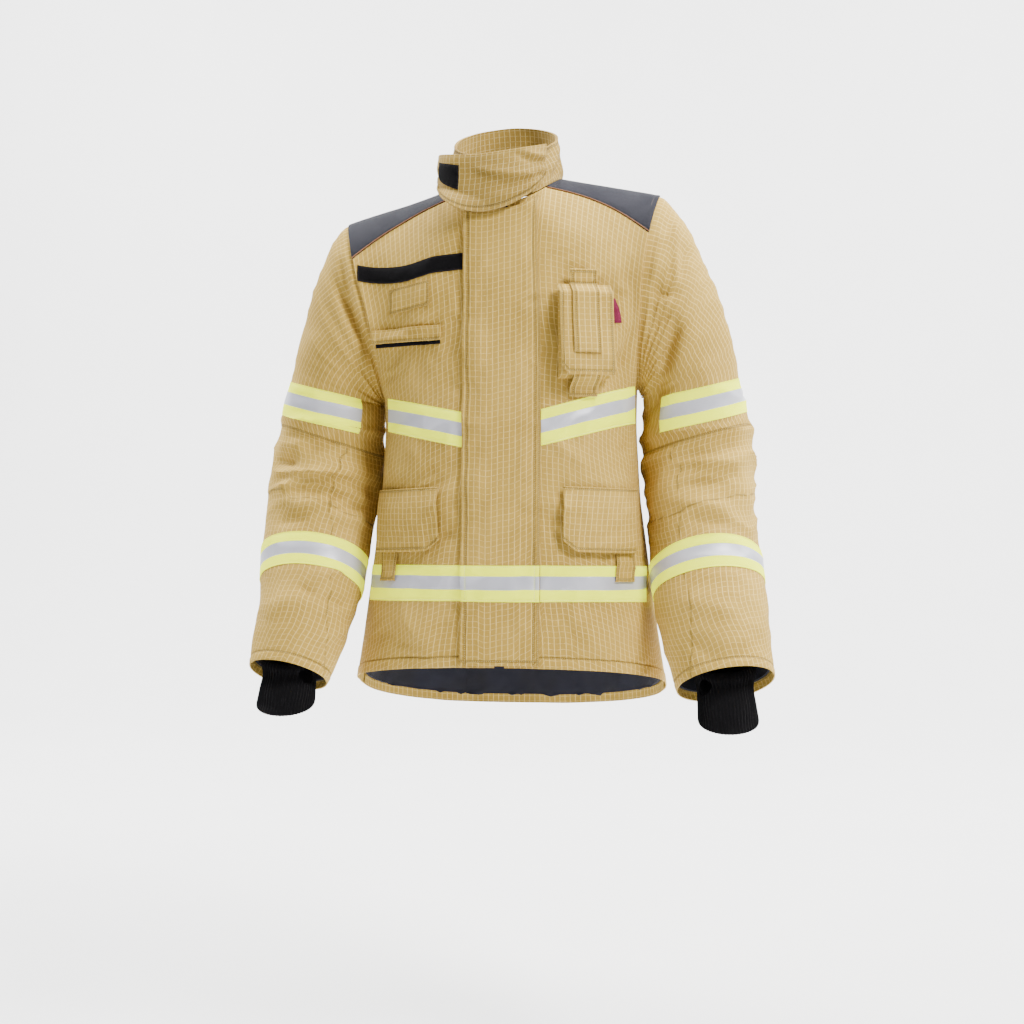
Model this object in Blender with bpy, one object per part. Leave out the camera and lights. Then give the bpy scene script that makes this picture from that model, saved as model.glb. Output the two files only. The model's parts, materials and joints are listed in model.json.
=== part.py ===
"""Turnout coat: a firefighter's protective jacket, shaped as it is when worn.

Every panel is an open sheet laid on one of three surfaces (the body, a sleeve or the collar) and
thickened with Solidify.  Metres, +Z up, the front faces -Y, and +X is the wearer's left.
The origin is the top of the hanging loop, at the back of the neck.
"""
import math

import bmesh
import bpy
import numpy as np
from mathutils import Matrix, Vector

for old in list(bpy.data.objects):
    bpy.data.objects.remove(old)

# ---------------------------------------------------------------- driving dimensions
MID_Y = -0.090          # plane of the side seams and the shoulder line
TIP_X = 0.237           # shoulder tip from the middle
NECK_X = 0.090          # side of the neck from the middle
NECK_SIDE_Z = -0.033
NECK_DIP, NECK_BACK_DIP = 0.042, 0.005   # the neck seam's fall in front, and behind
YOKE_X = 0.070          # where the yoke's seams meet the neck seam
SHOULDER_SLOPE = 0.245
TIP_Z = NECK_SIDE_Z - SHOULDER_SLOPE * (TIP_X - NECK_X)
ARMPIT_Z = -0.345
ARMHOLE_MID_Z = -0.210
ARMHOLE_DEPTH = 0.078   # half the front-to-back width of an armhole
SECTION_POWER = 2.4     # superellipse power of the body's cross-section
TILT = 0.075            # the wearer's left shoulder is carried higher
SWAY = {-1.0: 0.0105, 1.0: 0.0120}   # how far each shoulder is carried to the wearer's right
HEM_Z = -0.774          # hem height at the side seams
HEM_DROP, HEM_BACK_DROP = 0.235, 0.345   # its fall per metre backwards, in front and behind
WAIST_Z, WAIST_DROP = -0.625, 0.055

NECK_BAND = 0.02        # the liner's first rows below the neck seam
LINER_SHORT = 0.030     # the liner ends this far above the hem
SHELL = 0.0015          # outer shell cloth
LINING = 0.0020         # quilted lining
TAPE = 0.0508           # two-inch reflective tape
TAPE_THICK = 0.0010
TAPE_LIFT = 0.0020      # the tape's back above the shell
FLAP_HALF = 0.056       # half the storm flap's width
FLAP_LIFT = 0.0030      # its edges above the shell
FLAP_TUCK = 0.0075      # its top edge below the throat flap's lower edge
ZIP_GAP = 0.006         # each front panel stops this far from the middle
ZIP_TOP_Z, ZIP_BOTTOM_Z = -0.100, -0.690
COLUMN_ROOM = 0.004     # no column of a patch lies nearer its edge than this
CLEAR = 0.0010          # air between neighbouring pieces
LOOP_RISE = 0.010       # how far the hanging loop stands off the collar

COLLAR_X, COLLAR_HALF, COLLAR_DEEP = -0.0065, 0.0765, 0.088   # middle and half axes of the collar's top
SEAM_V = 1.185          # where the upper sleeve ends at its outer side, in sleeve steps
SEAM_SLANT = 0.085      # how much later it ends at its inner side
CUFF_REACH = {"right": 0.038, "left": 0.050}   # of the wristlet along the sleeve
SLEEVE_SIDES = 16

COLOURS = {
    "shell": (0.60, 0.43, 0.20), "yoke": (0.065, 0.068, 0.085), "lining": (0.018, 0.018, 0.024),
    "barrier": (0.75, 0.75, 0.72), "knit": (0.008, 0.008, 0.009), "tape": (0.75, 0.85, 0.15),
    "hook": (0.006, 0.006, 0.007), "metal": (0.55, 0.52, 0.45), "label": (0.20, 0.02, 0.05),
}


# ---------------------------------------------------------------- small helpers
def smooth(x):
    """0 to 1 with flat ends."""
    x = np.clip(x, 0.0, 1.0)
    return x * x * (3 - 2 * x)


def stations(*points):
    """A soft curve through (z, value) stations, given from low to high."""
    z = np.linspace(-1.0, 0.3, 651)
    width = 15
    kernel = np.hanning(2 * width + 1)
    value = np.interp(z, [p[0] for p in points], [p[1] for p in points])
    padded = np.pad(value, width, mode="edge")
    value = np.convolve(padded, kernel / kernel.sum(), "valid")
    return lambda at: np.interp(at, z, value)


half_width = stations((-0.86, 0.243), (-0.77, 0.231), (-0.70, 0.220), (-0.62, 0.209), (-0.50, 0.193),
                      (-0.40, 0.187), (-0.345, 0.188), (-0.28, 0.191), (-0.20, 0.203), (-0.10, 0.224),
                      (-0.065, 0.235), (0.0, 0.240))
back_depth = stations((-0.86, 0.1542), (-0.60, 0.136), (-0.45, 0.128), (-0.30, 0.138), (-0.15, 0.130),
                      (0.0, 0.112))


def front_depth(z):
    """The middle of the front is straight from neck to hem, as the zip needs."""
    return 0.118 + 0.066 * (-0.060 - np.asarray(z, float))


def ridge(x):
    """Height of the shoulder line."""
    inside = 0.5 * NECK_X * (1 - (np.minimum(np.abs(x), NECK_X) / NECK_X) ** 2)
    return NECK_SIDE_Z - SHOULDER_SLOPE * (np.maximum(np.abs(x) - NECK_X, 0) - inside)


def armhole_half(z):
    """Half the armhole's front-to-back width before the shoulder closes it; 0 below the armpit."""
    q = np.clip((ARMHOLE_MID_Z - z) / (ARMHOLE_MID_Z - ARMPIT_Z), 0, 1)
    return ARMHOLE_DEPTH * (1 - q * q) ** 0.65


def rounding(a):
    """How softly the shoulder line rounds into front and back, by share of the half width."""
    return 0.068 + 0.072 * smooth((a - 0.1) / 0.6)


def fall(d, r):
    """Drop below the shoulder line after distance d over a shoulder rounded with radius r."""
    return np.where(d < r * math.pi / 2, r * (1 - np.cos(d / r)), d - r * (math.pi / 2 - 1))


def lean(x, z):
    """Rise of the wearer's left side above the waist."""
    return TILT * x * smooth((z + 0.55) / 0.40)


def sway(x, z):
    """Shift of the shoulders to the wearer's right; the neck shifts on the left only."""
    left = SWAY[1.0] * smooth((x - 0.02) / 0.07)
    right = SWAY[-1.0] * smooth((-x - 0.14) / 0.08)
    return -(left + right) * smooth((z + 0.30) / 0.18)


def body(x, z, side, off=0.0):
    """The body surface in front (side -1) or behind (side 1) at x and height z, off metres outwards."""
    x, z = np.asarray(x, float), np.asarray(z, float)
    wide = half_width(z) + off
    a = np.clip(np.abs(x) / wide, 0, 1)
    r = rounding(a)
    drop = np.maximum(ridge(a * TIP_X) + off - z, 0)
    over = np.sin(np.arccos(np.clip(1 - drop / r, 0, 1)))
    hole = np.maximum(armhole_half(z) + np.where(z > ARMPIT_Z, off, 0), 0) * a**8
    deep = np.where(side > 0, back_depth(z), front_depth(z)) + off
    depth = (hole + (deep - hole) * (1 - a**SECTION_POWER) ** (1 / SECTION_POWER)) * over
    return np.stack([x + sway(x, z), MID_Y + side * depth, z + lean(x, z)], -1)


def body_down(s, d, side, off=0.0):
    """The body surface at share s of the half width, distance d down from the shoulder line."""
    a = np.abs(s)
    z = ridge(a * TIP_X) + off - fall(d, rounding(a))
    return body(np.sign(s) * np.minimum(a, 1) * (half_width(z) + off), z, side, off)


def down_to(s, z):
    """The distance down from the shoulder line to height z."""
    a = np.abs(s)
    r, drop = rounding(a), ridge(a * TIP_X) - z
    return np.where(drop < r, r * np.arccos(np.clip(1 - drop / r, -1, 1)), drop + r * (math.pi / 2 - 1))


def neck_z(x, side):
    """Height of the neck seam."""
    dip = np.where(side < 0, NECK_DIP, NECK_BACK_DIP)
    return NECK_SIDE_Z - dip * (1 - np.clip(np.abs(x) / NECK_X, 0, 1) ** 2) ** 0.8


def yoke_z(x, side):
    """Height of the seam under the dark shoulder piece, which starts at the neck seam."""
    q = np.clip((np.abs(x) - YOKE_X) / (TIP_X - YOKE_X), 0, 1)
    return np.where(side < 0, -0.055 - 0.033 * q - 0.042 * q**2, -0.040 - 0.090 * q)


def hem_z(s, side):
    """Hem height, falling towards the back."""
    fall_by = np.where(side > 0, HEM_BACK_DROP * back_depth(HEM_Z), HEM_DROP * front_depth(HEM_Z))
    a = np.clip(np.abs(s), 0, 1)
    return HEM_Z - fall_by * side * (1 - a**SECTION_POWER) ** (1 / SECTION_POWER)


ZIP_SHARE = ZIP_GAP / 0.19
SIDE_GAP = 0.0022        # keeps front and back panels apart at the side seam
HALF_COLUMNS = np.array([ZIP_SHARE, 0.12, 0.215, 0.329, 0.381, 0.50, 0.61, 0.71, 0.80, 0.875, 0.94, 0.98, 1])
COLUMNS = np.concatenate([-HALF_COLUMNS[::-1], HALF_COLUMNS])
FLAP_ROWS = np.array([0, 0.03, 0.06, 0.10, 0.16, 0.30, 0.48, 0.66, 0.84, 1.0])
TOP_ROWS = np.array([0, 0.33, 0.67, 1.0])[:, None]
ROWS = np.array([0, 0.03, 0.06, 0.10, 0.15, 0.21, 0.28, 0.36, 0.42, 0.50, 0.66, 0.83, 1.0])[:, None]


# ---------------------------------------------------------------- sleeve and collar surfaces
# Middle of each sleeve from under the arm to the cuff: x outwards, y from MID_Y, z, radius.
SLEEVE_PATHS = {
    "right": ((0.268, 0.010, -0.350, 0.0735), (0.2760, 0.010, -0.405, 0.0790), (0.2835, 0.000, -0.488, 0.0825),
              (0.291, -0.036, -0.582, 0.0785), (0.2945, -0.084, -0.665, 0.0710), (0.310, -0.130, -0.752, 0.0570)),
    "left": ((0.268, 0.010, -0.340, 0.073), (0.276, 0.012, -0.405, 0.078), (0.281, 0.000, -0.488, 0.0805),
             (0.288, -0.038, -0.580, 0.0800), (0.299, -0.086, -0.668, 0.0785), (0.316, -0.132, -0.757, 0.0690)),
}
SIGN = {"right": -1.0, "left": 1.0}


def along_path(path, u):
    """Point, radius and direction of a smooth curve through the path at share u."""
    p = np.array(path, float)
    p = np.vstack([2 * p[0] - p[1], p, 2 * p[-1] - p[-2]])
    at = np.clip(u, 0, 1) * (len(path) - 1)
    i = np.minimum(at.astype(int), len(path) - 2)
    t = (at - i)[..., None]
    a, b, c, d = p[i], p[i + 1], p[i + 2], p[i + 3]
    point = 0.5 * (2 * b + (c - a) * t + (2 * a - 5 * b + 4 * c - d) * t**2 + (3 * b - a - 3 * c + d) * t**3)
    slope = 0.5 * ((c - a) + 2 * (2 * a - 5 * b + 4 * c - d) * t + 3 * (3 * b - a - 3 * c + d) * t**2)
    direction = slope[..., :3] / np.linalg.norm(slope[..., :3], axis=-1, keepdims=True)
    past = np.maximum(u - 1, 0)[..., None] * np.linalg.norm(slope[..., :3], axis=-1, keepdims=True)
    past = past * (len(path) - 1)
    return point[..., :3] + direction * past, point[..., 3], direction


def sleeve_tube(side, theta, u, off=0.0):
    """The sleeve below the arm: theta 0 is its outer side, a quarter turn its front."""
    middle, radius, run = along_path(SLEEVE_PATHS[side], u)
    out = np.array([1.0, 0, 0]) - run[..., :1] * run
    out = out / np.linalg.norm(out, axis=-1, keepdims=True)
    front = np.cross(out, run)
    front = front * np.where(front[..., 1:2] > 0, -1, 1)
    r = (radius + off)[..., None]
    point = middle + r * (np.cos(theta)[..., None] * out + 0.96 * np.sin(theta)[..., None] * front)
    point = point + np.array([0, MID_Y, 0])
    return point * np.array([SIGN[side], 1, 1])


def armhole(side, theta, off=0.0):
    """The armhole seam, by the same angle as the sleeve."""
    z = ARMPIT_Z + (TIP_Z - ARMPIT_Z) * (1 + np.cos(theta)) / 2
    x = SIGN[side] * half_width(z)
    seam = body(x, z, -np.sign(np.sin(theta) + 1e-12), 0.0) + np.array([SIGN[side] * 0.002, 0, 0])
    centre = np.array([SIGN[side] * 0.208, MID_Y, (TIP_Z + ARMPIT_Z) / 2])
    arm = (seam - centre) * np.array([0, 1, 1])
    return seam + arm / np.linalg.norm(arm, axis=-1, keepdims=True) * off


def sleeve(side, theta, v, off=0.0):
    """The whole sleeve: v from 0 at the armhole to 1 below the arm, then to 2 at the cuff."""
    theta, v = np.broadcast_arrays(np.asarray(theta, float), np.asarray(v, float))
    tube = sleeve_tube(side, theta, np.maximum(v - 1, 0.0), off)
    start, end = armhole(side, theta, off), sleeve_tube(side, theta, np.zeros_like(v), off)
    later = sleeve_tube(side, theta, np.full_like(v, 0.01), off)
    under = ((1 - np.cos(theta)) / 2)[..., None]
    leave = (1 - under) * np.array([0.76, 0, -0.65]) + under * np.array([0.45, 0, -0.89])
    leave = leave * np.array([SIGN[side], 1, 1])
    leave = leave / np.linalg.norm(leave, axis=-1, keepdims=True) * (0.75 + 0.25 * under)
    arrive = later - end
    arrive = arrive / np.linalg.norm(arrive, axis=-1, keepdims=True)
    span = np.linalg.norm(end - start, axis=-1, keepdims=True)
    t = np.clip(v, 0, 1)[..., None]
    cap = ((2 * t**3 - 3 * t**2 + 1) * start + (t**3 - 2 * t**2 + t) * span * leave
           + (3 * t**2 - 2 * t**3) * end + (t**3 - t**2) * span * arrive)
    return np.where(v[..., None] < 1, cap, tube)


def slanted(theta, v):
    """Sleeve steps with the cross seam's slant, which fades towards the shoulder and the cuff."""
    share = np.where(v < SEAM_V, (v / SEAM_V) ** 4, (np.maximum(2 - v, 0) / (2 - SEAM_V)) ** 2)
    return v + SEAM_SLANT * share * (1 - np.cos(theta)) / 2


def collar_ring(psi, h, off=0.0):
    """The collar: psi 0 is the middle of the front, a quarter turn the wearer's left; h 0 base, 1 top."""
    psi, h = np.broadcast_arrays(np.asarray(psi, float), np.asarray(h, float))
    side = np.where(np.cos(psi) >= 0, -1.0, 1.0)
    x = (NECK_X - 0.003) * np.sin(psi)
    base = body(x, neck_z(x, side), side)
    back = (1 - np.cos(psi)) / 2
    top = np.stack([COLLAR_X + COLLAR_HALF * np.sin(psi), MID_Y - 0.012 - COLLAR_DEEP * np.cos(psi),
                    -0.006 + 0.076 * back + 0.3 * TILT * 0.083 * np.sin(psi)], -1)
    point = base + (top - base) * h[..., None]
    out = np.stack([np.sin(psi), -np.cos(psi), np.zeros_like(psi)], -1)
    return point + out * (0.001 + off)


# ---------------------------------------------------------------- mesh makers
MATERIALS = {}


def material(name):
    """A Principled material in one of the coat's colours."""
    if name not in MATERIALS:
        made = bpy.data.materials.new(name)
        made.use_nodes = True
        shader = made.node_tree.nodes["Principled BSDF"]
        shader.inputs["Base Color"].default_value = (*COLOURS[name], 1)
        shader.inputs["Roughness"].default_value = 0.35 if name == "metal" else 0.85
        shader.inputs["Metallic"].default_value = 1.0 if name == "metal" else 0.0
        MATERIALS[name] = made
    return MATERIALS[name]


def add(name, mesh, colour):
    """Links a mesh as a named piece."""
    piece = bpy.data.objects.new(name, mesh)
    mesh.materials.append(material(colour))
    bpy.context.scene.collection.objects.link(piece)
    return piece


def sheet(name, grids, colour, thick, closed=False, inwards=True):
    """One or more grids of points, joined where they touch, as a sheet thickened from its front face."""
    mesh = bpy.data.meshes.new(name)
    bm = bmesh.new()
    for points in grids if isinstance(grids, list) else [grids]:
        rows, columns = points.shape[:2]
        verts = [[bm.verts.new(points[i, j]) for j in range(columns)] for i in range(rows)]
        for i in range(rows - 1):
            for j in range(columns if closed else columns - 1):
                k = (j + 1) % columns
                bm.faces.new((verts[i][j], verts[i][k], verts[i + 1][k], verts[i + 1][j]))
    bmesh.ops.remove_doubles(bm, verts=bm.verts, dist=1e-5)
    bm.to_mesh(mesh)
    bm.free()
    mesh.shade_smooth()
    piece = add(name, mesh, colour)
    thicken = piece.modifiers.new("cloth", "SOLIDIFY")
    thicken.thickness = thick
    thicken.offset = -1.0 if inwards else 1.0
    return piece


def facing(points, reference):
    """The grid, flipped if its faces would point towards the reference point."""
    i, j = points.shape[0] // 2, points.shape[1] // 2
    across, along = points[i, j] - points[i, j - 1], points[i, j] - points[i - 1, j]
    outward = points[i, j] - reference
    return points if np.dot(np.cross(across, along), outward) > 0 else points[:, ::-1]


BODY_MIDDLE = np.array([0.0, MID_Y, -0.4])


def on_facets(x, z, side, off):
    """The body surface between the panels' columns, where their faces are flat across."""
    place = np.searchsorted(COLUMNS, x / half_width(z)).clip(1, len(COLUMNS) - 1)
    ends = []
    for column in (COLUMNS[place - 1], COLUMNS[place]):
        ends.append(body(column * (half_width(z) + off), z, side, off))
    share = (x - ends[0][..., 0]) / (ends[1][..., 0] - ends[0][..., 0])
    return ends[0] + share[..., None] * (ends[1] - ends[0])


def patch_grid(x0, x1, low, high, side, rows, off):
    """A grid on the body between x0 and x1, from height low(x) to high(x), bending at the columns."""
    x0, x1 = min(x0, x1), max(x0, x1)
    middle = half_width((low(np.array(x0)) + high(np.array(x0))) / 2)
    inner = COLUMNS
    heights = [edge(np.array(x)) for x in (x0, x1) for edge in (low, high)]
    for width in half_width(np.array(heights)):
        inner = inner[(inner * width > x0 + COLUMN_ROOM) & (inner * width < x1 - COLUMN_ROOM)]
    grid = []
    for t in FLAP_ROWS if rows == len(FLAP_ROWS) else np.linspace(0, 1, rows):
        x = np.concatenate([[x0], inner * middle, [x1]])
        for _ in range(3):
            z = high(x) + t * (low(x) - high(x))
            x = np.concatenate([[x0], inner * (half_width(z[1:-1]) + off), [x1]])
        grid.append(on_facets(x, z, side, off))
    return np.array(grid)


def laid(name, x0, x1, low, high, side, rows, colour, thick, off):
    """A patch on the body between x0 and x1, from height low(x) to high(x)."""
    grid = patch_grid(x0, x1, low, high, side, rows, off)
    return sheet(name, facing(grid, BODY_MIDDLE), colour, thick, inwards=False)


def height(z):
    """A constant height, as a function of x."""
    return lambda x: np.full_like(x, z)


# ---------------------------------------------------------------- body
def d_top(s, side):
    """Top edge of the shell panels: the neck seam, then the yoke seam."""
    x = np.abs(s) * TIP_X
    z = np.where(x < YOKE_X, neck_z(x, side), yoke_z(x, side))
    return down_to(s, z) + CLEAR


def d_neck(s, side):
    """The neck seam, then the shoulder line."""
    x = np.abs(s) * TIP_X
    return np.where(x < NECK_X, down_to(s, neck_z(x, side)), 0.0)


def d_hem(s, side):
    """Bottom edge of the shell panels."""
    return down_to(s, hem_z(s, side))


def body_grid(s, first, last, side, off=0.0, rows=ROWS):
    """Columns at shares s, each from distance first to last down the body."""
    s = np.asarray(s)[None, :]
    d = first[None, :] + rows * (last - first)[None, :]
    return facing(body_down(s * np.ones_like(d), d, side, off), BODY_MIDDLE)


def make_body():
    """The shell's front panels, back panel and yokes, the barrier and the lining."""
    for name, sign in (("right", -1), ("left", 1)):
        s = sign * np.append(HALF_COLUMNS[:-1], 1 - SIDE_GAP**2)
        sheet(f"front_panel_{name}", body_grid(s, d_top(s, -1), d_hem(s, -1), -1), "shell", SHELL)
        make_yoke(f"yoke_{name}", sign)
    s = np.clip(COLUMNS, SIDE_GAP**2 - 1, 1 - SIDE_GAP**2)
    sheet("back_panel", body_grid(s, d_top(s, 1), d_hem(s, 1), 1), "shell", SHELL)
    inner_layer("moisture_barrier", "barrier", 0.0008, -0.0042)
    inner_layer("thermal_liner", "lining", LINING, -0.0068)
    make_hem_facing()


def make_yoke(name, sign):
    """A dark reinforcement over one shoulder, from the front seam to the back seam."""
    s = sign * np.append(HALF_COLUMNS[HALF_COLUMNS * TIP_X > YOKE_X][:-1], 1 - SIDE_GAP**2)
    grids = [body_grid(s, d_neck(s, side), d_top(s, side) - 2 * CLEAR, side, rows=TOP_ROWS) for side in (-1, 1)]
    sheet(name, grids, "yoke", SHELL)


def inner_layer(name, colour, thick, off):
    """A one-piece layer inside the shell, open at the front, neck, armholes and hem."""
    grids = []
    fronts = np.append(ZIP_SHARE * 3.2, HALF_COLUMNS[1:])
    for s, side in ((-fronts[::-1], -1), (fronts, -1), (COLUMNS, 1)):
        first = d_neck(s, side)
        middle = np.where(np.abs(s) * TIP_X < YOKE_X, first + NECK_BAND, d_top(s, side))
        last = down_to(s, hem_z(s, side) + LINER_SHORT)
        top = body_grid(s, first, middle, side, off, TOP_ROWS)
        rest = body_grid(s, middle, last, side, off)
        grids += [top, rest]
    sheet(name, grids, colour, thick)


def make_hem_facing():
    """The shell cloth turned up inside the hem, behind the body's back."""
    s = COLUMNS[1:-1][None, :]
    t = np.linspace(0, 1, 2)[:, None]
    z = hem_z(s, 1) + 0.001 + t * 0.026
    d = down_to(s, z)
    points = body_down(s * np.ones_like(t), d, np.ones_like(d), -0.0022)
    sheet("hem_facing", facing(points, BODY_MIDDLE), "shell", SHELL)


# ---------------------------------------------------------------- sleeves
UPPER_ROWS = np.array([0.016, 0.2, 0.42, 0.68, 0.93, 1.03, 1.12, SEAM_V - 0.002])[:, None]
LOWER_ROWS = np.array([SEAM_V + 0.002, 1.32, 1.46, 1.592, 1.649, 1.706, 1.86, 2.0])[:, None]
OUTER_TURN = (np.arange(-6, 7) * 2 * math.pi / SLEEVE_SIDES)[None, :]


def make_sleeve(side):
    """Upper and lower shell, their linings, two tapes and the knitted wristlet of one arm."""
    turn = np.linspace(0, 2 * math.pi, SLEEVE_SIDES, endpoint=False)[None, :]
    middle = np.array([SIGN[side] * 0.27, MID_Y, -0.3])

    def tube(name, v, colour, thick, off):
        points = sleeve(side, turn * np.ones_like(v), slanted(turn, v), off)
        mid_ring = points[points.shape[0] // 2].mean(0)
        return sheet(name, facing(points, mid_ring), colour, thick, closed=True)

    tube(f"upper_sleeve_{side}", UPPER_ROWS, "shell", SHELL, 0.0)
    tube(f"lower_sleeve_{side}", LOWER_ROWS, "shell", SHELL, 0.0)
    tube(f"upper_sleeve_lining_{side}", UPPER_ROWS[1:], "lining", LINING, -0.0060)
    tube(f"lower_sleeve_lining_{side}", LOWER_ROWS[:-1], "lining", LINING, -0.0040)
    for name, rows, angles, closed in (("upper", UPPER_ROWS[4:7], OUTER_TURN, False),
                                       ("lower", LOWER_ROWS[3:6], turn, True)):
        points = sleeve(side, angles * np.ones_like(rows), slanted(angles, rows), TAPE_LIFT)
        sheet(f"trim_{name}_sleeve_{side}", facing(points, points[1].mean(0)), "tape", TAPE_THICK,
              closed=closed, inwards=False)
    make_wristlet(side, turn)


def wristlet_point(side, theta, h):
    """The knitted tube: h 0 inside the cuff, 1 at its free end, which hangs straighter down."""
    middle, _, run = along_path(SLEEVE_PATHS[side], np.full(np.shape(h), 0.93))
    down = np.array([0.02, -0.25, -0.97])
    h = np.asarray(h, float)[..., None]
    axis = middle + run * CUFF_REACH[side] * h + down * 0.040 * h**2
    out, front = np.array([1.0, 0, 0]), np.array([0, -0.93, -0.36])
    radius = 0.046 - 0.008 * smooth(h) + 0.002 * smooth((h - 0.8) / 0.2)
    point = axis + radius * (np.cos(theta)[..., None] * out + 0.85 * np.sin(theta)[..., None] * front)
    return (point + np.array([0, MID_Y, 0])) * np.array([SIGN[side], 1, 1])


def make_wristlet(side, turn):
    """A wristlet with its thumb hole."""
    h = np.linspace(0, 1, 7)[:, None]
    points = wristlet_point(side, turn * np.ones_like(h), h * np.ones_like(turn))
    piece = sheet(f"wristlet_{side}", facing(points, points[3].mean(0)), "knit", 0.0025, closed=True)
    theta = np.array([math.radians(135)])
    at = Vector(wristlet_point(side, theta, np.array([0.42]))[0])
    inner = Vector(wristlet_point(side, theta + math.pi, np.array([0.42]))[0])
    away = (at - inner).normalized()
    mesh = bpy.data.meshes.new("thumb_cutter")
    bm = bmesh.new()
    bmesh.ops.create_cone(bm, cap_ends=True, segments=14, radius1=0.0105, radius2=0.0105, depth=0.03)
    bm.to_mesh(mesh)
    bm.free()
    cutter = add(f"thumb_cutter_{side}", mesh, "knit")
    cutter.hide_render = True
    cutter.display_type = "WIRE"
    cutter.matrix_world = Matrix.Translation(at) @ away.to_track_quat("Z", "Y").to_matrix().to_4x4()
    cut = piece.modifiers.new("thumb_hole", "BOOLEAN")
    cut.operation = "DIFFERENCE"
    cut.object = cutter


# ---------------------------------------------------------------- collar
FLAP_ENDS = (math.radians(-82), math.radians(48))


def make_collar():
    """Stand, its lining, the wrap-over flap with its patch, and the hanging loop."""
    gap = math.radians(4)
    psi = np.linspace(gap, 2 * math.pi - gap, 29)[None, :]
    middle = np.array([0.0, MID_Y, 0.0])
    for name, colour, thick, off in (("collar_stand", "shell", 0.002, 0.0),
                                     ("collar_lining", "shell", 0.0015, -0.0045)):
        h = np.linspace(0.10 if off == 0 else 0.24, 1.0, 4)[:, None]
        points = collar_ring(psi * np.ones_like(h), h * np.ones_like(psi), off)
        sheet(name, facing(points, middle), colour, thick)
    make_collar_flap(middle)
    make_hang_loop()


def flap_low(psi):
    """Height of the throat flap's lower edge."""
    q = (psi - FLAP_ENDS[0]) / (FLAP_ENDS[1] - FLAP_ENDS[0])
    return -0.026 - 0.060 * np.sin(math.pi * np.clip(q, 0, 1)) ** 0.8 - 0.010 * q


def collar_flap_point(psi, h, off=0.0):
    """The wrap-over flap: h 0 is its lower edge and 1 its upper edge."""
    q = (psi - FLAP_ENDS[0]) / (FLAP_ENDS[1] - FLAP_ENDS[0])
    low, high = flap_low(psi), 0.010 - 0.015 * np.sin(math.pi * q)
    z = low + h * (high - low)
    x = (0.087 + 0.013 * (1 - q)) * np.sin(psi) - 0.007 * q
    y = MID_Y - 0.010 - (0.108 + 0.014 * (1 - h)) * np.cos(psi)
    y = np.minimum(y, body(x, z, -1.0)[..., 1] - 0.005)
    out = np.stack([np.sin(psi), -np.cos(psi), np.zeros_like(psi)], -1)
    return np.stack([x, y, z + 0.5 * TILT * x], -1) + out * off


def make_collar_flap(middle):
    """The throat flap and the black square of fastener on it."""
    psi = np.linspace(*FLAP_ENDS, 17)[None, :]
    h = np.linspace(0, 1, 5)[:, None]
    points = collar_flap_point(psi * np.ones_like(h), h * np.ones_like(psi))
    sheet("collar_flap", facing(points, middle), "shell", 0.003, inwards=False)
    psi = np.concatenate([[FLAP_ENDS[0] + 0.06], psi[0, 1:3], [psi[0, 3] - 0.01]])[None, :]
    h = np.linspace(0.26, 0.78, 3)[:, None]
    points = collar_flap_point(psi * np.ones_like(h), h * np.ones_like(psi), 0.0050)
    sheet("collar_patch", facing(points, middle), "hook", 0.0012, inwards=False)


def make_hang_loop():
    """A strap standing off the back of the collar; its top edge is at the origin's height."""
    half, width = 0.030, 0.0125
    turn = np.linspace(0, math.pi, 13)
    x = -half * np.cos(turn)
    y = LOOP_RISE * (np.sin(turn) - 1) - COLLAR_DEEP * (1 - np.sqrt(1 - (x / COLLAR_DEEP) ** 2))
    points = np.array([np.stack([x, y, np.full_like(x, z)], -1) for z in (0.0, -width)])
    sheet("hang_loop", facing(points, np.array([0, MID_Y, 0])), "hook", 0.0016)


# ---------------------------------------------------------------- front closure
ZIP_SLOPE = 0.066       # how far the straight front comes forward per metre down


def zip_y(z, off=0.0):
    """The front's middle line at height z."""
    return MID_Y - (0.118 + ZIP_SLOPE * (-0.060 - z)) - off


def box(name, low, high, colour, bevel=0.0, segments=1):
    """A box whose faces follow the leaning zip line; low and high give x, off and z."""
    mesh = bpy.data.meshes.new(name)
    bm = bmesh.new()
    bmesh.ops.create_cube(bm, size=1.0)
    for v in bm.verts:
        x, off, z = (low[k] if v.co[k] < 0 else high[k] for k in range(3))
        v.co = (x, zip_y(z, off), z)
    bm.normal_update()
    bmesh.ops.recalc_face_normals(bm, faces=bm.faces)
    if bevel:
        bmesh.ops.bevel(bm, geom=bm.edges, offset=bevel, segments=segments, affect="EDGES")
    bm.to_mesh(mesh)
    bm.free()
    return add(name, mesh, colour)


def make_zip():
    """Tapes, chains, slider and pull, on the straight front line."""
    for name, sign in (("right", -1), ("left", 1)):
        inner, outer = sorted((sign * 0.0045, sign * 0.016))
        box(f"zip_tape_{name}", (inner, -0.0030, ZIP_BOTTOM_Z), (outer, -0.0024, ZIP_TOP_Z), "hook")
        inner, outer = sorted((sign * 0.0006, sign * 0.0042))
        box(f"zip_chain_{name}", (inner, -0.0036, ZIP_BOTTOM_Z), (outer, 0.0004, ZIP_TOP_Z), "metal")
    make_slider()


def make_slider():
    """The slider's front plate with its bridge, and the pull that hangs from it."""
    top = ZIP_TOP_Z - 0.004
    box("zip_slider", (-0.0050, 0.0008, top - 0.022), (0.0050, 0.0024, top), "metal", 0.0004)
    low = top - 0.058
    box("zip_pull", (-0.0035, 0.0028, low), (0.0035, 0.0040, top - 0.010), "metal", 0.0003)


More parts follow.
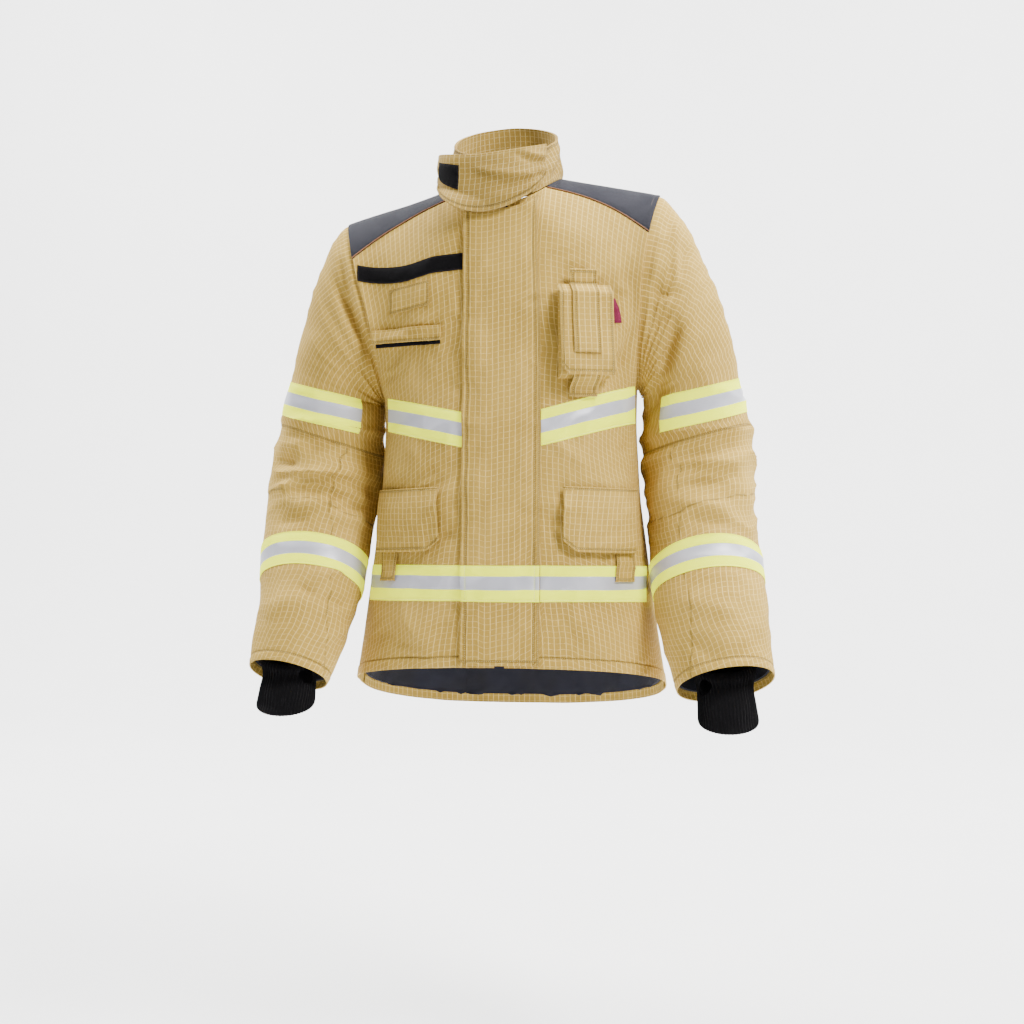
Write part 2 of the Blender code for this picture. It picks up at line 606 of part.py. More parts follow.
def make_storm_flap():
    """The flap over the zip, sewn on the wearer's left, with its fastener strips and waist tape."""
    strip("storm_flap", flap_hem, flap_top, 10, "shell", 0.0022, 0.0)
    strip("trim_waist_flap", lambda x: waist_z(x, -1) - TAPE / 2, lambda x: waist_z(x, -1) + TAPE / 2, 3,
          "tape", TAPE_THICK, 0.0026)
    laid("flap_fastener_loop", -FLAP_HALF + 0.003, -FLAP_HALF + 0.024, height(-0.66), height(-0.14), -1.0,
         6, "hook", 0.0006, 0.0007)


def flap_top(x):
    """Top edge of the storm flap, just below the throat flap."""
    return flap_low(np.arcsin(np.clip(x / 0.097, -1, 1))) - FLAP_TUCK - 0.12 * np.abs(x)


def flap_hem(x):
    """Bottom edge of the storm flap."""
    return hem_z(x / half_width(HEM_Z), -1) + 0.004


def strip(name, low, high, rows, colour, thick, lift):
    """A piece the width of the storm flap, padded out in its middle."""
    points = patch_grid(-FLAP_HALF, FLAP_HALF - 0.001, low, high, -1.0, rows, 0.0)
    across = np.clip(points[..., 0] / FLAP_HALF / 2 + 0.5, 0, 1)
    points[..., 1] -= FLAP_LIFT + 0.0036 * np.sin(math.pi * across) ** 0.7 + lift
    return sheet(name, facing(points, BODY_MIDDLE), colour, thick, inwards=False)


def waist_z(x, side):
    """Middle of the tape round the waist."""
    a = np.clip(np.abs(x) / half_width(WAIST_Z), 0, 1)
    deep = np.where(side > 0, back_depth(WAIST_Z), front_depth(WAIST_Z))
    return WAIST_Z - WAIST_DROP * side * deep * (1 - a**SECTION_POWER) ** (1 / SECTION_POWER)


# ---------------------------------------------------------------- reflective tape on the body
def tape_on_body(name, x0, x1, middle, side):
    """A tape along the body; middle gives its height at each x."""
    laid(name, x0, x1, lambda x: middle(x) - TAPE / 2, lambda x: middle(x) + TAPE / 2, side, 3, "tape",
         TAPE_THICK, TAPE_LIFT)


def chest_z(x):
    """Middle of the slanting chest tapes."""
    return -0.367 - 0.235 * (0.19 - np.abs(x))


def make_body_tapes():
    """Chest and waist tapes in front, and one at each height behind."""
    edge, waist, behind = FLAP_HALF + 0.002, 0.200, 0.172
    for name, sign, chest in (("right", -1, 0.175), ("left", 1, 0.182)):
        tape_on_body(f"trim_chest_{name}", sign * edge, sign * chest, chest_z, -1.0)
        tape_on_body(f"trim_waist_{name}", sign * edge, sign * waist, lambda x: waist_z(x, -1), -1.0)
    tape_on_body("trim_waist_back", -waist, waist, lambda x: waist_z(x, 1), 1.0)
    tape_on_body("trim_chest_back", -behind, behind, height(-0.367), 1.0)


# ---------------------------------------------------------------- pockets and patches
def make_chest_right():
    """Badge strip, microphone loop, pocket flap and its zip, on the wearer's right chest."""
    wave = lambda x: -0.1555 + 0.0065 * np.sin((x + 0.066) * 19)
    laid("badge_strip", -0.210, -0.058, lambda x: wave(x) - 0.011, lambda x: wave(x) + 0.011, -1.0, 3,
         "hook", 0.0010, 0.0022)
    laid("mic_loop", -0.167, -0.105, height(-0.217), height(-0.180), -1.0, 3, "shell", 0.0015, 0.0012)
    laid("chest_pocket_zip", -0.184, -0.094, height(-0.271), height(-0.257), -1.0, 3, "hook", 0.0008, 0.0012)
    laid("chest_flap", -0.190, -0.088, height(-0.2735), height(-0.2445), -1.0, 3, "shell", 0.0020, 0.0032)


RADIO_X, RADIO_Z = 0.115, -0.2695
RADIO_HALF, RADIO_TALL, RADIO_DEEP = 0.039, 0.118, 0.024


def radio_frame():
    """Matrix of the radio pocket: x across it, y into the coat, z up, on the body's surface."""
    at, beside = (Vector(body(x, RADIO_Z, -1.0)) for x in (RADIO_X, RADIO_X + 0.01))
    right = beside - at
    right.z = 0
    right.normalize()
    up = Vector((0, 0, 1))
    matrix = Matrix((right, up.cross(right), up)).transposed().to_4x4()
    matrix.translation = at + matrix.to_3x3() @ Vector((0, -0.0035, 0))
    return matrix


def make_radio_pocket():
    """A standing pocket with an open top, its flap, the strap over it and the pull tab."""
    frame = radio_frame()
    half, tall, deep = RADIO_HALF, RADIO_TALL, RADIO_DEEP
    mesh = bpy.data.meshes.new("radio_pocket")
    bm = bmesh.new()
    bmesh.ops.create_cube(bm, size=1.0)
    bmesh.ops.scale(bm, vec=(2 * half, deep, tall), verts=bm.verts)
    bmesh.ops.translate(bm, vec=(0, -deep / 2, 0), verts=bm.verts)
    bmesh.ops.delete(bm, geom=[f for f in bm.faces if f.normal.z > 0.9], context="FACES")
    bm.normal_update()
    bmesh.ops.recalc_face_normals(bm, faces=bm.faces)
    bm.to_mesh(mesh)
    bm.free()
    pocket = add("radio_pocket", mesh, "shell")
    pocket.matrix_world = frame
    wall = pocket.modifiers.new("cloth", "SOLIDIFY")
    wall.thickness = 0.0015
    wall.offset = -1
    wall.use_even_offset = True

    plate("radio_flap", frame, (-half - 0.001, half + 0.001), (-tall / 2 - 0.004, tall / 2 + 0.004),
          deep + 0.0010, 0.0020, "shell")
    plate("radio_strap", frame, (-0.024, 0.023), (-0.030, tall / 2 + 0.004), deep + 0.0034, 0.0016, "shell")
    plate("radio_tab", frame, (-0.024, 0.012), (-tall / 2 - 0.030, -tall / 2 + 0.010), deep + 0.0034,
          0.0016, "shell")


def plate(name, frame, across, up, off, thick, colour):
    """A flat plate in front of a frame's plane."""
    mesh = bpy.data.meshes.new(name)
    bm = bmesh.new()
    bmesh.ops.create_cube(bm, size=1.0)
    bmesh.ops.scale(bm, vec=(across[1] - across[0], thick, up[1] - up[0]), verts=bm.verts)
    bmesh.ops.translate(bm, vec=(sum(across) / 2, -off - thick / 2, sum(up) / 2), verts=bm.verts)
    bmesh.ops.bevel(bm, geom=bm.edges, offset=thick * 0.3, segments=1, affect="EDGES")
    bm.to_mesh(mesh)
    bm.free()
    piece = add(name, mesh, colour)
    piece.matrix_world = frame
    return piece


def make_label():
    """The plain woven label beside the radio pocket."""
    laid("side_label", 0.1545, 0.1655, height(-0.257), height(-0.2235), -1.0, 3, "label", 0.0008, 0.0020)


def make_cargo(side):
    """A lower pocket: its mouth, its flap with a cut corner, and the pull tab under the flap."""
    sign = SIGN[side]
    corner = lambda x: np.clip((0.108 - np.abs(x)) / 0.021, 0, 1) * 0.017
    top = lambda x: -0.480 - 0.05 * (np.abs(x) - 0.087)
    low = lambda x: -0.571 - 0.05 * (np.abs(x) - 0.087) + corner(x)
    laid(f"cargo_mouth_{side}", sign * 0.097, sign * 0.176, lambda x: top(x) - 0.030, lambda x: top(x) - 0.016,
         -1.0, 2, "hook", 0.0008, 0.0012)
    laid(f"cargo_flap_{side}", sign * 0.089, sign * 0.186, low, top, -1.0, 4, "shell", 0.0022, 0.0062)
    laid(f"cargo_tab_{side}", sign * 0.149, sign * 0.173, lambda x: low(x) - 0.032, lambda x: low(x) + 0.016,
         -1.0, 4, "shell", 0.0012, 0.0036)


make_body()
make_sleeve("right")
make_sleeve("left")
make_collar()
make_zip()
make_storm_flap()
make_body_tapes()
make_chest_right()
make_radio_pocket()
make_label()
make_cargo("right")
make_cargo("left")
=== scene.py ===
import json
import math

import bmesh
import bpy
import numpy as np
from mathutils import Matrix, Vector

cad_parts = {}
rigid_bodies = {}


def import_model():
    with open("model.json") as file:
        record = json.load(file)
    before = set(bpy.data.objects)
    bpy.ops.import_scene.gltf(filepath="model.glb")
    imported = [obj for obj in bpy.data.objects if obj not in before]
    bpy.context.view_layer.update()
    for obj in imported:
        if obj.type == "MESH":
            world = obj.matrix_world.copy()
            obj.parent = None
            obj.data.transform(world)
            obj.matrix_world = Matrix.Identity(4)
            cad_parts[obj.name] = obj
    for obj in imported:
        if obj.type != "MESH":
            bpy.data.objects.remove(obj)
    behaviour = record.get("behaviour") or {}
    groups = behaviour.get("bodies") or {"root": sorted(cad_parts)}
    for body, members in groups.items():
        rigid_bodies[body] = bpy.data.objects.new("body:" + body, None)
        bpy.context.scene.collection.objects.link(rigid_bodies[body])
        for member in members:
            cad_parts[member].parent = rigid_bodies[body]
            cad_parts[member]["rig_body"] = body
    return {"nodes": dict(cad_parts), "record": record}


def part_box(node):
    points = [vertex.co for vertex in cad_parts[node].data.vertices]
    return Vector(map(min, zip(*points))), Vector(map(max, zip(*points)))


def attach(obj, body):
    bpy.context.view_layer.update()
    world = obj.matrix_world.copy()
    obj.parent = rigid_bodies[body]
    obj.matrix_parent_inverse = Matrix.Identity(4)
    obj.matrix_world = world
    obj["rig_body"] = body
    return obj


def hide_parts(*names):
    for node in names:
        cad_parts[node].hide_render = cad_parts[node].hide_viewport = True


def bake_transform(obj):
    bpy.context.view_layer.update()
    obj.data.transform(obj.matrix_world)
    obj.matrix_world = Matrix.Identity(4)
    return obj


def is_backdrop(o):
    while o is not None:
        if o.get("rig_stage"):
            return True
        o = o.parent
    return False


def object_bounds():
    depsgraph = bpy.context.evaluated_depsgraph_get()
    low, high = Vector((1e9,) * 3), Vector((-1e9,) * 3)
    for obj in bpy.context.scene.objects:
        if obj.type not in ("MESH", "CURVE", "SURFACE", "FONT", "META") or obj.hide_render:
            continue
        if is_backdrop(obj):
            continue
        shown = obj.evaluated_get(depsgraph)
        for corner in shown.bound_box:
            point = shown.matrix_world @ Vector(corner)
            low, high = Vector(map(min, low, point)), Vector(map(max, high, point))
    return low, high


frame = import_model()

cad_low, cad_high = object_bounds()

# ---------------------------------------------------------------- driving dimensions
MID_Y = -0.090          # plane of the side seams and the shoulder line
TIP_X = 0.237           # shoulder tip from the middle
NECK_X = 0.090          # side of the neck from the middle
NECK_SIDE_Z = -0.033
NECK_DIP, NECK_BACK_DIP = 0.042, 0.005   # the neck seam's fall in front, and behind
YOKE_X = 0.070          # where the yoke's seams meet the neck seam
SHOULDER_SLOPE = 0.245
TIP_Z = NECK_SIDE_Z - SHOULDER_SLOPE * (TIP_X - NECK_X)
ARMPIT_Z = -0.345
ARMHOLE_MID_Z = -0.210
ARMHOLE_DEPTH = 0.078   # half the front-to-back width of an armhole
SECTION_POWER = 2.4     # superellipse power of the body's cross-section
TILT = 0.075            # the wearer's left shoulder is carried higher
SWAY = {-1.0: 0.0105, 1.0: 0.0120}   # how far each shoulder is carried to the wearer's right
HEM_Z = -0.774          # hem height at the side seams
HEM_DROP, HEM_BACK_DROP = 0.235, 0.345   # its fall per metre backwards, in front and behind
WAIST_Z, WAIST_DROP = -0.625, 0.055

TAPE = 0.0508           # two-inch reflective tape
FLAP_HALF = 0.056       # half the storm flap's width
FLAP_TUCK = 0.0075      # its top edge below the throat flap's lower edge
ZIP_GAP = 0.006         # each front panel stops this far from the middle
CLEAR = 0.0010          # air between neighbouring pieces
LOOP_RISE = 0.010       # how far the hanging loop stands off the collar

COLLAR_X, COLLAR_HALF, COLLAR_DEEP = -0.0065, 0.0765, 0.088   # middle and half axes of the collar's top
SEAM_V = 1.185          # where the upper sleeve ends at its outer side, in sleeve steps
SEAM_SLANT = 0.085      # how much later it ends at its inner side
CUFF_REACH = {"right": 0.038, "left": 0.050}   # of the wristlet along the sleeve


# ---------------------------------------------------------------- named measures of the cloth
FINE = 0.0042            # spacing of the grids
CLOTH = 0.0016           # outer cloth
FOLDED = 0.0030          # a flap of two layers
QUILT = 0.0035
TAPE_FACE = 0.0008
PITCH = 0.0083           # the reinforcing yarns' spacing
HEM_STITCH = 0.0165
EDGE_STEPS = (0.0006, 0.0015, 0.0030)
STITCH_ROOM = 0.0009
AIR = 0.0004             # between a patch and what it lies on
FLAP_CLEAR = 0.0105      # of the throat flap before the chest
FACING = 0.0145          # height of the shell cloth turned up inside the back hem



# ---------------------------------------------------------------- small helpers
def smooth(x):
    """0 to 1 with flat ends."""
    x = np.clip(x, 0.0, 1.0)
    return x * x * (3 - 2 * x)


def stations(*points):
    """A soft curve through (z, value) stations, given from low to high."""
    z = np.linspace(-1.0, 0.3, 651)
    width = 15
    kernel = np.hanning(2 * width + 1)
    value = np.interp(z, [p[0] for p in points], [p[1] for p in points])
    padded = np.pad(value, width, mode="edge")
    value = np.convolve(padded, kernel / kernel.sum(), "valid")
    return lambda at: np.interp(at, z, value)


half_width = stations((-0.86, 0.243), (-0.77, 0.231), (-0.70, 0.220), (-0.62, 0.209), (-0.50, 0.193),
                      (-0.40, 0.187), (-0.345, 0.188), (-0.28, 0.191), (-0.20, 0.203), (-0.10, 0.224),
                      (-0.065, 0.235), (0.0, 0.240))
back_depth = stations((-0.86, 0.1542), (-0.60, 0.136), (-0.45, 0.128), (-0.30, 0.138), (-0.15, 0.130),
                      (0.0, 0.112))


def front_depth(z):
    """The middle of the front is straight from neck to hem, as the zip needs."""
    return 0.118 + 0.066 * (-0.060 - np.asarray(z, float))


def ridge(x):
    """Height of the shoulder line."""
    inside = 0.5 * NECK_X * (1 - (np.minimum(np.abs(x), NECK_X) / NECK_X) ** 2)
    return NECK_SIDE_Z - SHOULDER_SLOPE * (np.maximum(np.abs(x) - NECK_X, 0) - inside)


def armhole_half(z):
    """Half the armhole's front-to-back width before the shoulder closes it; 0 below the armpit."""
    q = np.clip((ARMHOLE_MID_Z - z) / (ARMHOLE_MID_Z - ARMPIT_Z), 0, 1)
    return ARMHOLE_DEPTH * (1 - q * q) ** 0.65


def rounding(a):
    """How softly the shoulder line rounds into front and back, by share of the half width."""
    return 0.068 + 0.072 * smooth((a - 0.1) / 0.6)


def fall(d, r):
    """Drop below the shoulder line after distance d over a shoulder rounded with radius r."""
    return np.where(d < r * math.pi / 2, r * (1 - np.cos(d / r)), d - r * (math.pi / 2 - 1))


def lean(x, z):
    """Rise of the wearer's left side above the waist."""
    return TILT * x * smooth((z + 0.55) / 0.40)


def sway(x, z):
    """Shift of the shoulders to the wearer's right; the neck shifts on the left only."""
    left = SWAY[1.0] * smooth((x - 0.02) / 0.07)
    right = SWAY[-1.0] * smooth((-x - 0.14) / 0.08)
    return -(left + right) * smooth((z + 0.30) / 0.18)


def smooth_body(x, z, side, off=0.0):
    """The body surface in front (side -1) or behind (side 1) at x and height z, off metres outwards."""
    x, z = np.asarray(x, float), np.asarray(z, float)
    wide = half_width(z) + off
    a = np.clip(np.abs(x) / wide, 0, 1)
    r = rounding(a)
    drop = np.maximum(ridge(a * TIP_X) + off - z, 0)
    over = np.sin(np.arccos(np.clip(1 - drop / r, 0, 1)))
    hole = np.maximum(armhole_half(z) + np.where(z > ARMPIT_Z, off, 0), 0) * a**8
    deep = np.where(side > 0, back_depth(z), front_depth(z)) + off
    depth = (hole + (deep - hole) * (1 - a**SECTION_POWER) ** (1 / SECTION_POWER)) * over
    return np.stack([x + sway(x, z), MID_Y + side * depth, z + lean(x, z)], -1)


def body_down(s, d, side, off=0.0):
    """The body surface at share s of the half width, distance d down from the shoulder line."""
    a = np.abs(s)
    z = ridge(a * TIP_X) + off - fall(d, rounding(a))
    return body(np.sign(s) * np.minimum(a, 1) * (half_width(z) + off), z, side, off)


def down_to(s, z):
    """The distance down from the shoulder line to height z."""
    a = np.abs(s)
    r, drop = rounding(a), ridge(a * TIP_X) - z
    return np.where(drop < r, r * np.arccos(np.clip(1 - drop / r, -1, 1)), drop + r * (math.pi / 2 - 1))


def neck_z(x, side):
    """Height of the neck seam."""
    dip = np.where(side < 0, NECK_DIP, NECK_BACK_DIP)
    return NECK_SIDE_Z - dip * (1 - np.clip(np.abs(x) / NECK_X, 0, 1) ** 2) ** 0.8


def yoke_z(x, side):
    """Height of the seam under the dark shoulder piece, which starts at the neck seam."""
    q = np.clip((np.abs(x) - YOKE_X) / (TIP_X - YOKE_X), 0, 1)
    return np.where(side < 0, -0.055 - 0.033 * q - 0.042 * q**2, -0.040 - 0.090 * q)


def hem_z(s, side):
    """Hem height, falling towards the back."""
    fall_by = np.where(side > 0, HEM_BACK_DROP * back_depth(HEM_Z), HEM_DROP * front_depth(HEM_Z))
    a = np.clip(np.abs(s), 0, 1)
    return HEM_Z - fall_by * side * (1 - a**SECTION_POWER) ** (1 / SECTION_POWER)


ZIP_SHARE = ZIP_GAP / 0.19
BODY_MIDDLE = np.array([0.0, MID_Y, -0.4])
FLAP_ENDS = (math.radians(-82), math.radians(48))


# ---------------------------------------------------------------- folds
def creases(a, b, folds):
    """Sum of folds; each runs from (a0, b0) to (a1, b1) with a height, a width and its far side's width."""
    total = np.zeros(np.broadcast(a, b).shape)
    for a0, b0, a1, b1, height, near, far in folds:
        da, db = a1 - a0, b1 - b0
        length = math.hypot(da, db)
        along = ((a - a0) * da + (b - b0) * db) / length
        across = ((a - a0) * db - (b - b0) * da) / length
        fade = 0.3 * length + near
        ends = smooth((along + near) / fade) * smooth((length - along + near) / fade)
        width = np.where(across > 0, near, far)
        total = total + height * ends * np.exp(-(np.abs(across) / width) ** 1.6)
    return total


def waves(a, b, seed, size, spread, lean_angle=0.0, count=7):
    """Soft random waves about size metres long, their crests turned about lean_angle."""
    draw = np.random.default_rng(seed)
    total = np.zeros(np.broadcast(a, b).shape)
    for _ in range(count):
        turn = lean_angle + draw.normal(0, spread)
        k = 2 * math.pi / size * draw.uniform(0.55, 1.5)
        total = total + np.sin(k * (b * math.cos(turn) + a * math.sin(turn)) + draw.uniform(0, 2 * math.pi))
    return total / math.sqrt(count)


def crumple(a, b, seed, size, spread, lean_angle=0.0):
    """Random folds with sharp crests, from -1 to 1."""
    bent = b + 0.18 * size * waves(a, b, seed + 1, 1.7 * size, 1.5)
    return 1 - 1.5 * np.abs(waves(a, bent, seed, size, spread, lean_angle)) ** 0.8


# Folds on the body's front, as seen from the front: x and z of both ends, height, width on each side.
FRONT_FOLDS = (
    (0.185, -0.205, 0.120, -0.330, 0.0035, 0.012, 0.020), (0.190, -0.260, 0.150, -0.350, -0.0040, 0.010,
                                                           0.018),
    (-0.190, -0.240, -0.120, -0.250, -0.0025, 0.010, 0.014), (-0.175, -0.262, -0.100, -0.230, 0.0030, 0.012,
                                                              0.012),
    (0.070, -0.420, 0.120, -0.452, 0.0022, 0.009, 0.014), (-0.066, -0.470, -0.105, -0.520, 0.0022, 0.008,
                                                           0.012),
    (-0.066, -0.545, -0.110, -0.560, -0.0022, 0.007, 0.010), (0.066, -0.520, 0.085, -0.560, -0.0020, 0.008,
                                                              0.008),
    (0.066, -0.500, 0.095, -0.512, 0.0018, 0.006, 0.009), (-0.150, -0.660, -0.090, -0.730, 0.0025, 0.015,
                                                           0.022),
    (0.090, -0.655, 0.150, -0.720, 0.0025, 0.014, 0.024), (-0.050, -0.300, 0.040, -0.320, 0.0020, 0.012,
                                                           0.020),
    (-0.045, -0.395, 0.048, -0.385, 0.0020, 0.010, 0.016), (-0.040, -0.505, 0.050, -0.520, -0.0018, 0.010,
                                                            0.014),
    (-0.050, -0.160, 0.050, -0.150, 0.0015, 0.015, 0.020),
)


def swell(x, z, side):
    """How far the worn cloth stands off the body's smooth shape."""
    x, z, side = np.broadcast_arrays(np.asarray(x, float), np.asarray(z, float), np.asarray(side, float))
    wide = half_width(z)
    middle = 1 - smooth((np.abs(x) / wide - 0.90) / 0.08)
    below = smooth((-0.10 - z) / 0.10)
    front = (2.3 * creases(x, z, FRONT_FOLDS) + 0.0024 * waves(x, z, 5, 0.13, 0.5)
             + 0.0013 * crumple(x, z, 8, 0.06, 0.9))
    front = front * smooth((np.abs(x) - 0.012) / 0.022)
    back = 0.0030 * waves(x, z, 21, 0.26, 0.7, 1.2) + 0.0016 * crumple(x, z, 27, 0.13, 0.8)
    return np.where(side < 0, front, back) * middle * below


def outward(x, z, side):
    """Direction out of the body's smooth section."""
    wide = half_width(z)
    deep = np.where(side > 0, back_depth(z), front_depth(z))
    a = np.clip(np.abs(x) / wide, 0, 1)
    power = SECTION_POWER - 1
    across = np.sign(x) * a**power / wide
    ahead = side * ((1 - a**SECTION_POWER) ** (1 / SECTION_POWER)) ** power / deep
    size = np.sqrt(across**2 + ahead**2) + 1e-9
    return np.stack([across / size, ahead / size, np.zeros_like(size)], -1)


def body(x, z, side, off=0.0):
    """The worn body surface, folds included."""
    x, z, side, off = np.broadcast_arrays(*(np.asarray(v, float) for v in (x, z, side, off)))
    return smooth_body(x, z, side, off) + outward(x, z, side) * swell(x, z, side)[..., None]


# ---------------------------------------------------------------- sleeve and collar surfaces
# Middle of each sleeve from under the arm to the cuff: x outwards, y from MID_Y, z, radius.
SLEEVE_PATHS = {
    "right": ((0.268, 0.010, -0.350, 0.0735), (0.2760, 0.010, -0.405, 0.0790),
              (0.2835, 0.000, -0.488, 0.0825),
              (0.291, -0.036, -0.582, 0.0785), (0.2945, -0.084, -0.665, 0.0710), (0.310, -0.130, -0.752,
                                                                                  0.0570)),
    "left": ((0.268, 0.010, -0.340, 0.073), (0.276, 0.012, -0.405, 0.078), (0.281, 0.000, -0.488, 0.0805),
             (0.288, -0.038, -0.580, 0.0800), (0.299, -0.086, -0.668, 0.0785), (0.316, -0.132, -0.757,
                                                                                0.0690)),
}
SIGN = {"right": -1.0, "left": 1.0}


def along_path(path, u):
    """Point, radius and direction of a smooth curve through the path at share u."""
    p = np.array(path, float)
    p = np.vstack([2 * p[0] - p[1], p, 2 * p[-1] - p[-2]])
    at = np.clip(u, 0, 1) * (len(path) - 1)
    i = np.minimum(at.astype(int), len(path) - 2)
    t = (at - i)[..., None]
    a, b, c, d = p[i], p[i + 1], p[i + 2], p[i + 3]
    point = 0.5 * (2 * b + (c - a) * t + (2 * a - 5 * b + 4 * c - d) * t**2 + (3 * b - a - 3 * c + d) * t**3)
    slope = 0.5 * ((c - a) + 2 * (2 * a - 5 * b + 4 * c - d) * t + 3 * (3 * b - a - 3 * c + d) * t**2)
    direction = slope[..., :3] / np.linalg.norm(slope[..., :3], axis=-1, keepdims=True)
    past = np.maximum(u - 1, 0)[..., None] * np.linalg.norm(slope[..., :3], axis=-1, keepdims=True)
    past = past * (len(path) - 1)
    return point[..., :3] + direction * past, point[..., 3], direction


def sleeve_tube(side, theta, u, off=0.0):
    """The sleeve below the arm: theta 0 is its outer side, a quarter turn its front."""
    middle, radius, run = along_path(SLEEVE_PATHS[side], u)
    out = np.array([1.0, 0, 0]) - run[..., :1] * run
    out = out / np.linalg.norm(out, axis=-1, keepdims=True)
    front = np.cross(out, run)
    front = front * np.where(front[..., 1:2] > 0, -1, 1)
    r = (radius + off)[..., None]
    point = middle + r * (np.cos(theta)[..., None] * out + 0.96 * np.sin(theta)[..., None] * front)
    point = point + np.array([0, MID_Y, 0])
    return point * np.array([SIGN[side], 1, 1])


def armhole(side, theta, off=0.0):
    """The armhole seam, by the same angle as the sleeve."""
    z = ARMPIT_Z + (TIP_Z - ARMPIT_Z) * (1 + np.cos(theta)) / 2
    x = SIGN[side] * half_width(z)
    seam = body(x, z, -np.sign(np.sin(theta) + 1e-12), 0.0) + np.array([SIGN[side] * 0.002, 0, 0])
    centre = np.array([SIGN[side] * 0.208, MID_Y, (TIP_Z + ARMPIT_Z) / 2])
    arm = (seam - centre) * np.array([0, 1, 1])
    return seam + arm / np.linalg.norm(arm, axis=-1, keepdims=True) * np.asarray(off)[..., None]


def smooth_sleeve(side, theta, v, off=0.0):
    """The whole sleeve: v from 0 at the armhole to 1 below the arm, then to 2 at the cuff."""
    theta, v = np.broadcast_arrays(np.asarray(theta, float), np.asarray(v, float))
    tube = sleeve_tube(side, theta, np.maximum(v - 1, 0.0), off)
    start, end = armhole(side, theta, off), sleeve_tube(side, theta, np.zeros_like(v), off)
    later = sleeve_tube(side, theta, np.full_like(v, 0.01), off)
    under = ((1 - np.cos(theta)) / 2)[..., None]
    leave = (1 - under) * np.array([0.76, 0, -0.65]) + under * np.array([0.45, 0, -0.89])
    leave = leave * np.array([SIGN[side], 1, 1])
    leave = leave / np.linalg.norm(leave, axis=-1, keepdims=True) * (0.75 + 0.25 * under)
    arrive = later - end
    arrive = arrive / np.linalg.norm(arrive, axis=-1, keepdims=True)
    span = np.linalg.norm(end - start, axis=-1, keepdims=True)
    t = np.clip(v, 0, 1)[..., None]
    cap = ((2 * t**3 - 3 * t**2 + 1) * start + (t**3 - 2 * t**2 + t) * span * leave
           + (3 * t**2 - 2 * t**3) * end + (t**3 - t**2) * span * arrive)
    return np.where(v[..., None] < 1, cap, tube)


def slanted(theta, v):
    """Sleeve steps with the cross seam's slant, which fades towards the shoulder and the cuff."""
    share = np.where(v < SEAM_V, (v / SEAM_V) ** 4, (np.maximum(2 - v, 0) / (2 - SEAM_V)) ** 2)
    return v + SEAM_SLANT * share * (1 - np.cos(theta)) / 2


def collar_ring(psi, h, off=0.0):
    """The collar: psi 0 is the middle of the front, a quarter turn the wearer's left; h 0 base, 1 top."""
    psi, h = np.broadcast_arrays(np.asarray(psi, float), np.asarray(h, float))
    side = np.where(np.cos(psi) >= 0, -1.0, 1.0)
    x = (NECK_X - 0.003) * np.sin(psi)
    base = body(x, neck_z(x, side), side)
    back = (1 - np.cos(psi)) / 2
    top = np.stack([COLLAR_X + COLLAR_HALF * np.sin(psi), MID_Y - 0.012 - COLLAR_DEEP * np.cos(psi),
                    -0.006 + 0.076 * back + 0.3 * TILT * 0.083 * np.sin(psi)], -1)
    point = base + (top - base) * h[..., None]
    out = np.stack([np.sin(psi), -np.cos(psi), np.zeros_like(psi)], -1)
    return point + out * (0.001 + np.asarray(off))[..., None]


def facing(points, reference):
    """The grid, flipped if its faces would point towards the reference point."""
    i, j = points.shape[0] // 2, points.shape[1] // 2
    across, along = points[i, j] - points[i, j - 1], points[i, j] - points[i - 1, j]
    outward = points[i, j] - reference
    return points if np.dot(np.cross(across, along), outward) > 0 else points[:, ::-1]


def height(z):
    """A constant height, as a function of x."""
    return lambda x: np.full_like(x, z)


def d_top(s, side):
    """Top edge of the shell panels: the neck seam, then the yoke seam."""
    x = np.abs(s) * TIP_X
    z = np.where(x < YOKE_X, neck_z(x, side), yoke_z(x, side))
    return down_to(s, z) + CLEAR


def d_neck(s, side):
    """The neck seam, then the shoulder line."""
    x = np.abs(s) * TIP_X
    return np.where(x < NECK_X, down_to(s, neck_z(x, side)), 0.0)


def d_hem(s, side):
    """Bottom edge of the shell panels."""
    return down_to(s, hem_z(s, side))


def wristlet_point(side, theta, h):
    """The knitted tube: h 0 inside the cuff, 1 at its free end, which hangs straighter down."""
    middle, _, run = along_path(SLEEVE_PATHS[side], np.full(np.shape(h), 0.93))
    down = np.array([0.02, -0.25, -0.97])
    h = np.asarray(h, float)[..., None]
    axis = middle + run * CUFF_REACH[side] * h + down * 0.040 * h**2
    out, front = np.array([1.0, 0, 0]), np.array([0, -0.93, -0.36])
    radius = 0.046 - 0.008 * smooth(h) + 0.002 * smooth((h - 0.8) / 0.2)
    point = axis + radius * (np.cos(theta)[..., None] * out + 0.85 * np.sin(theta)[..., None] * front)
    return (point + np.array([0, MID_Y, 0])) * np.array([SIGN[side], 1, 1])


def flap_low(psi):
    """Height of the throat flap's lower edge."""
    q = (psi - FLAP_ENDS[0]) / (FLAP_ENDS[1] - FLAP_ENDS[0])
    return -0.026 - 0.060 * np.sin(math.pi * np.clip(q, 0, 1)) ** 0.8 - 0.010 * q


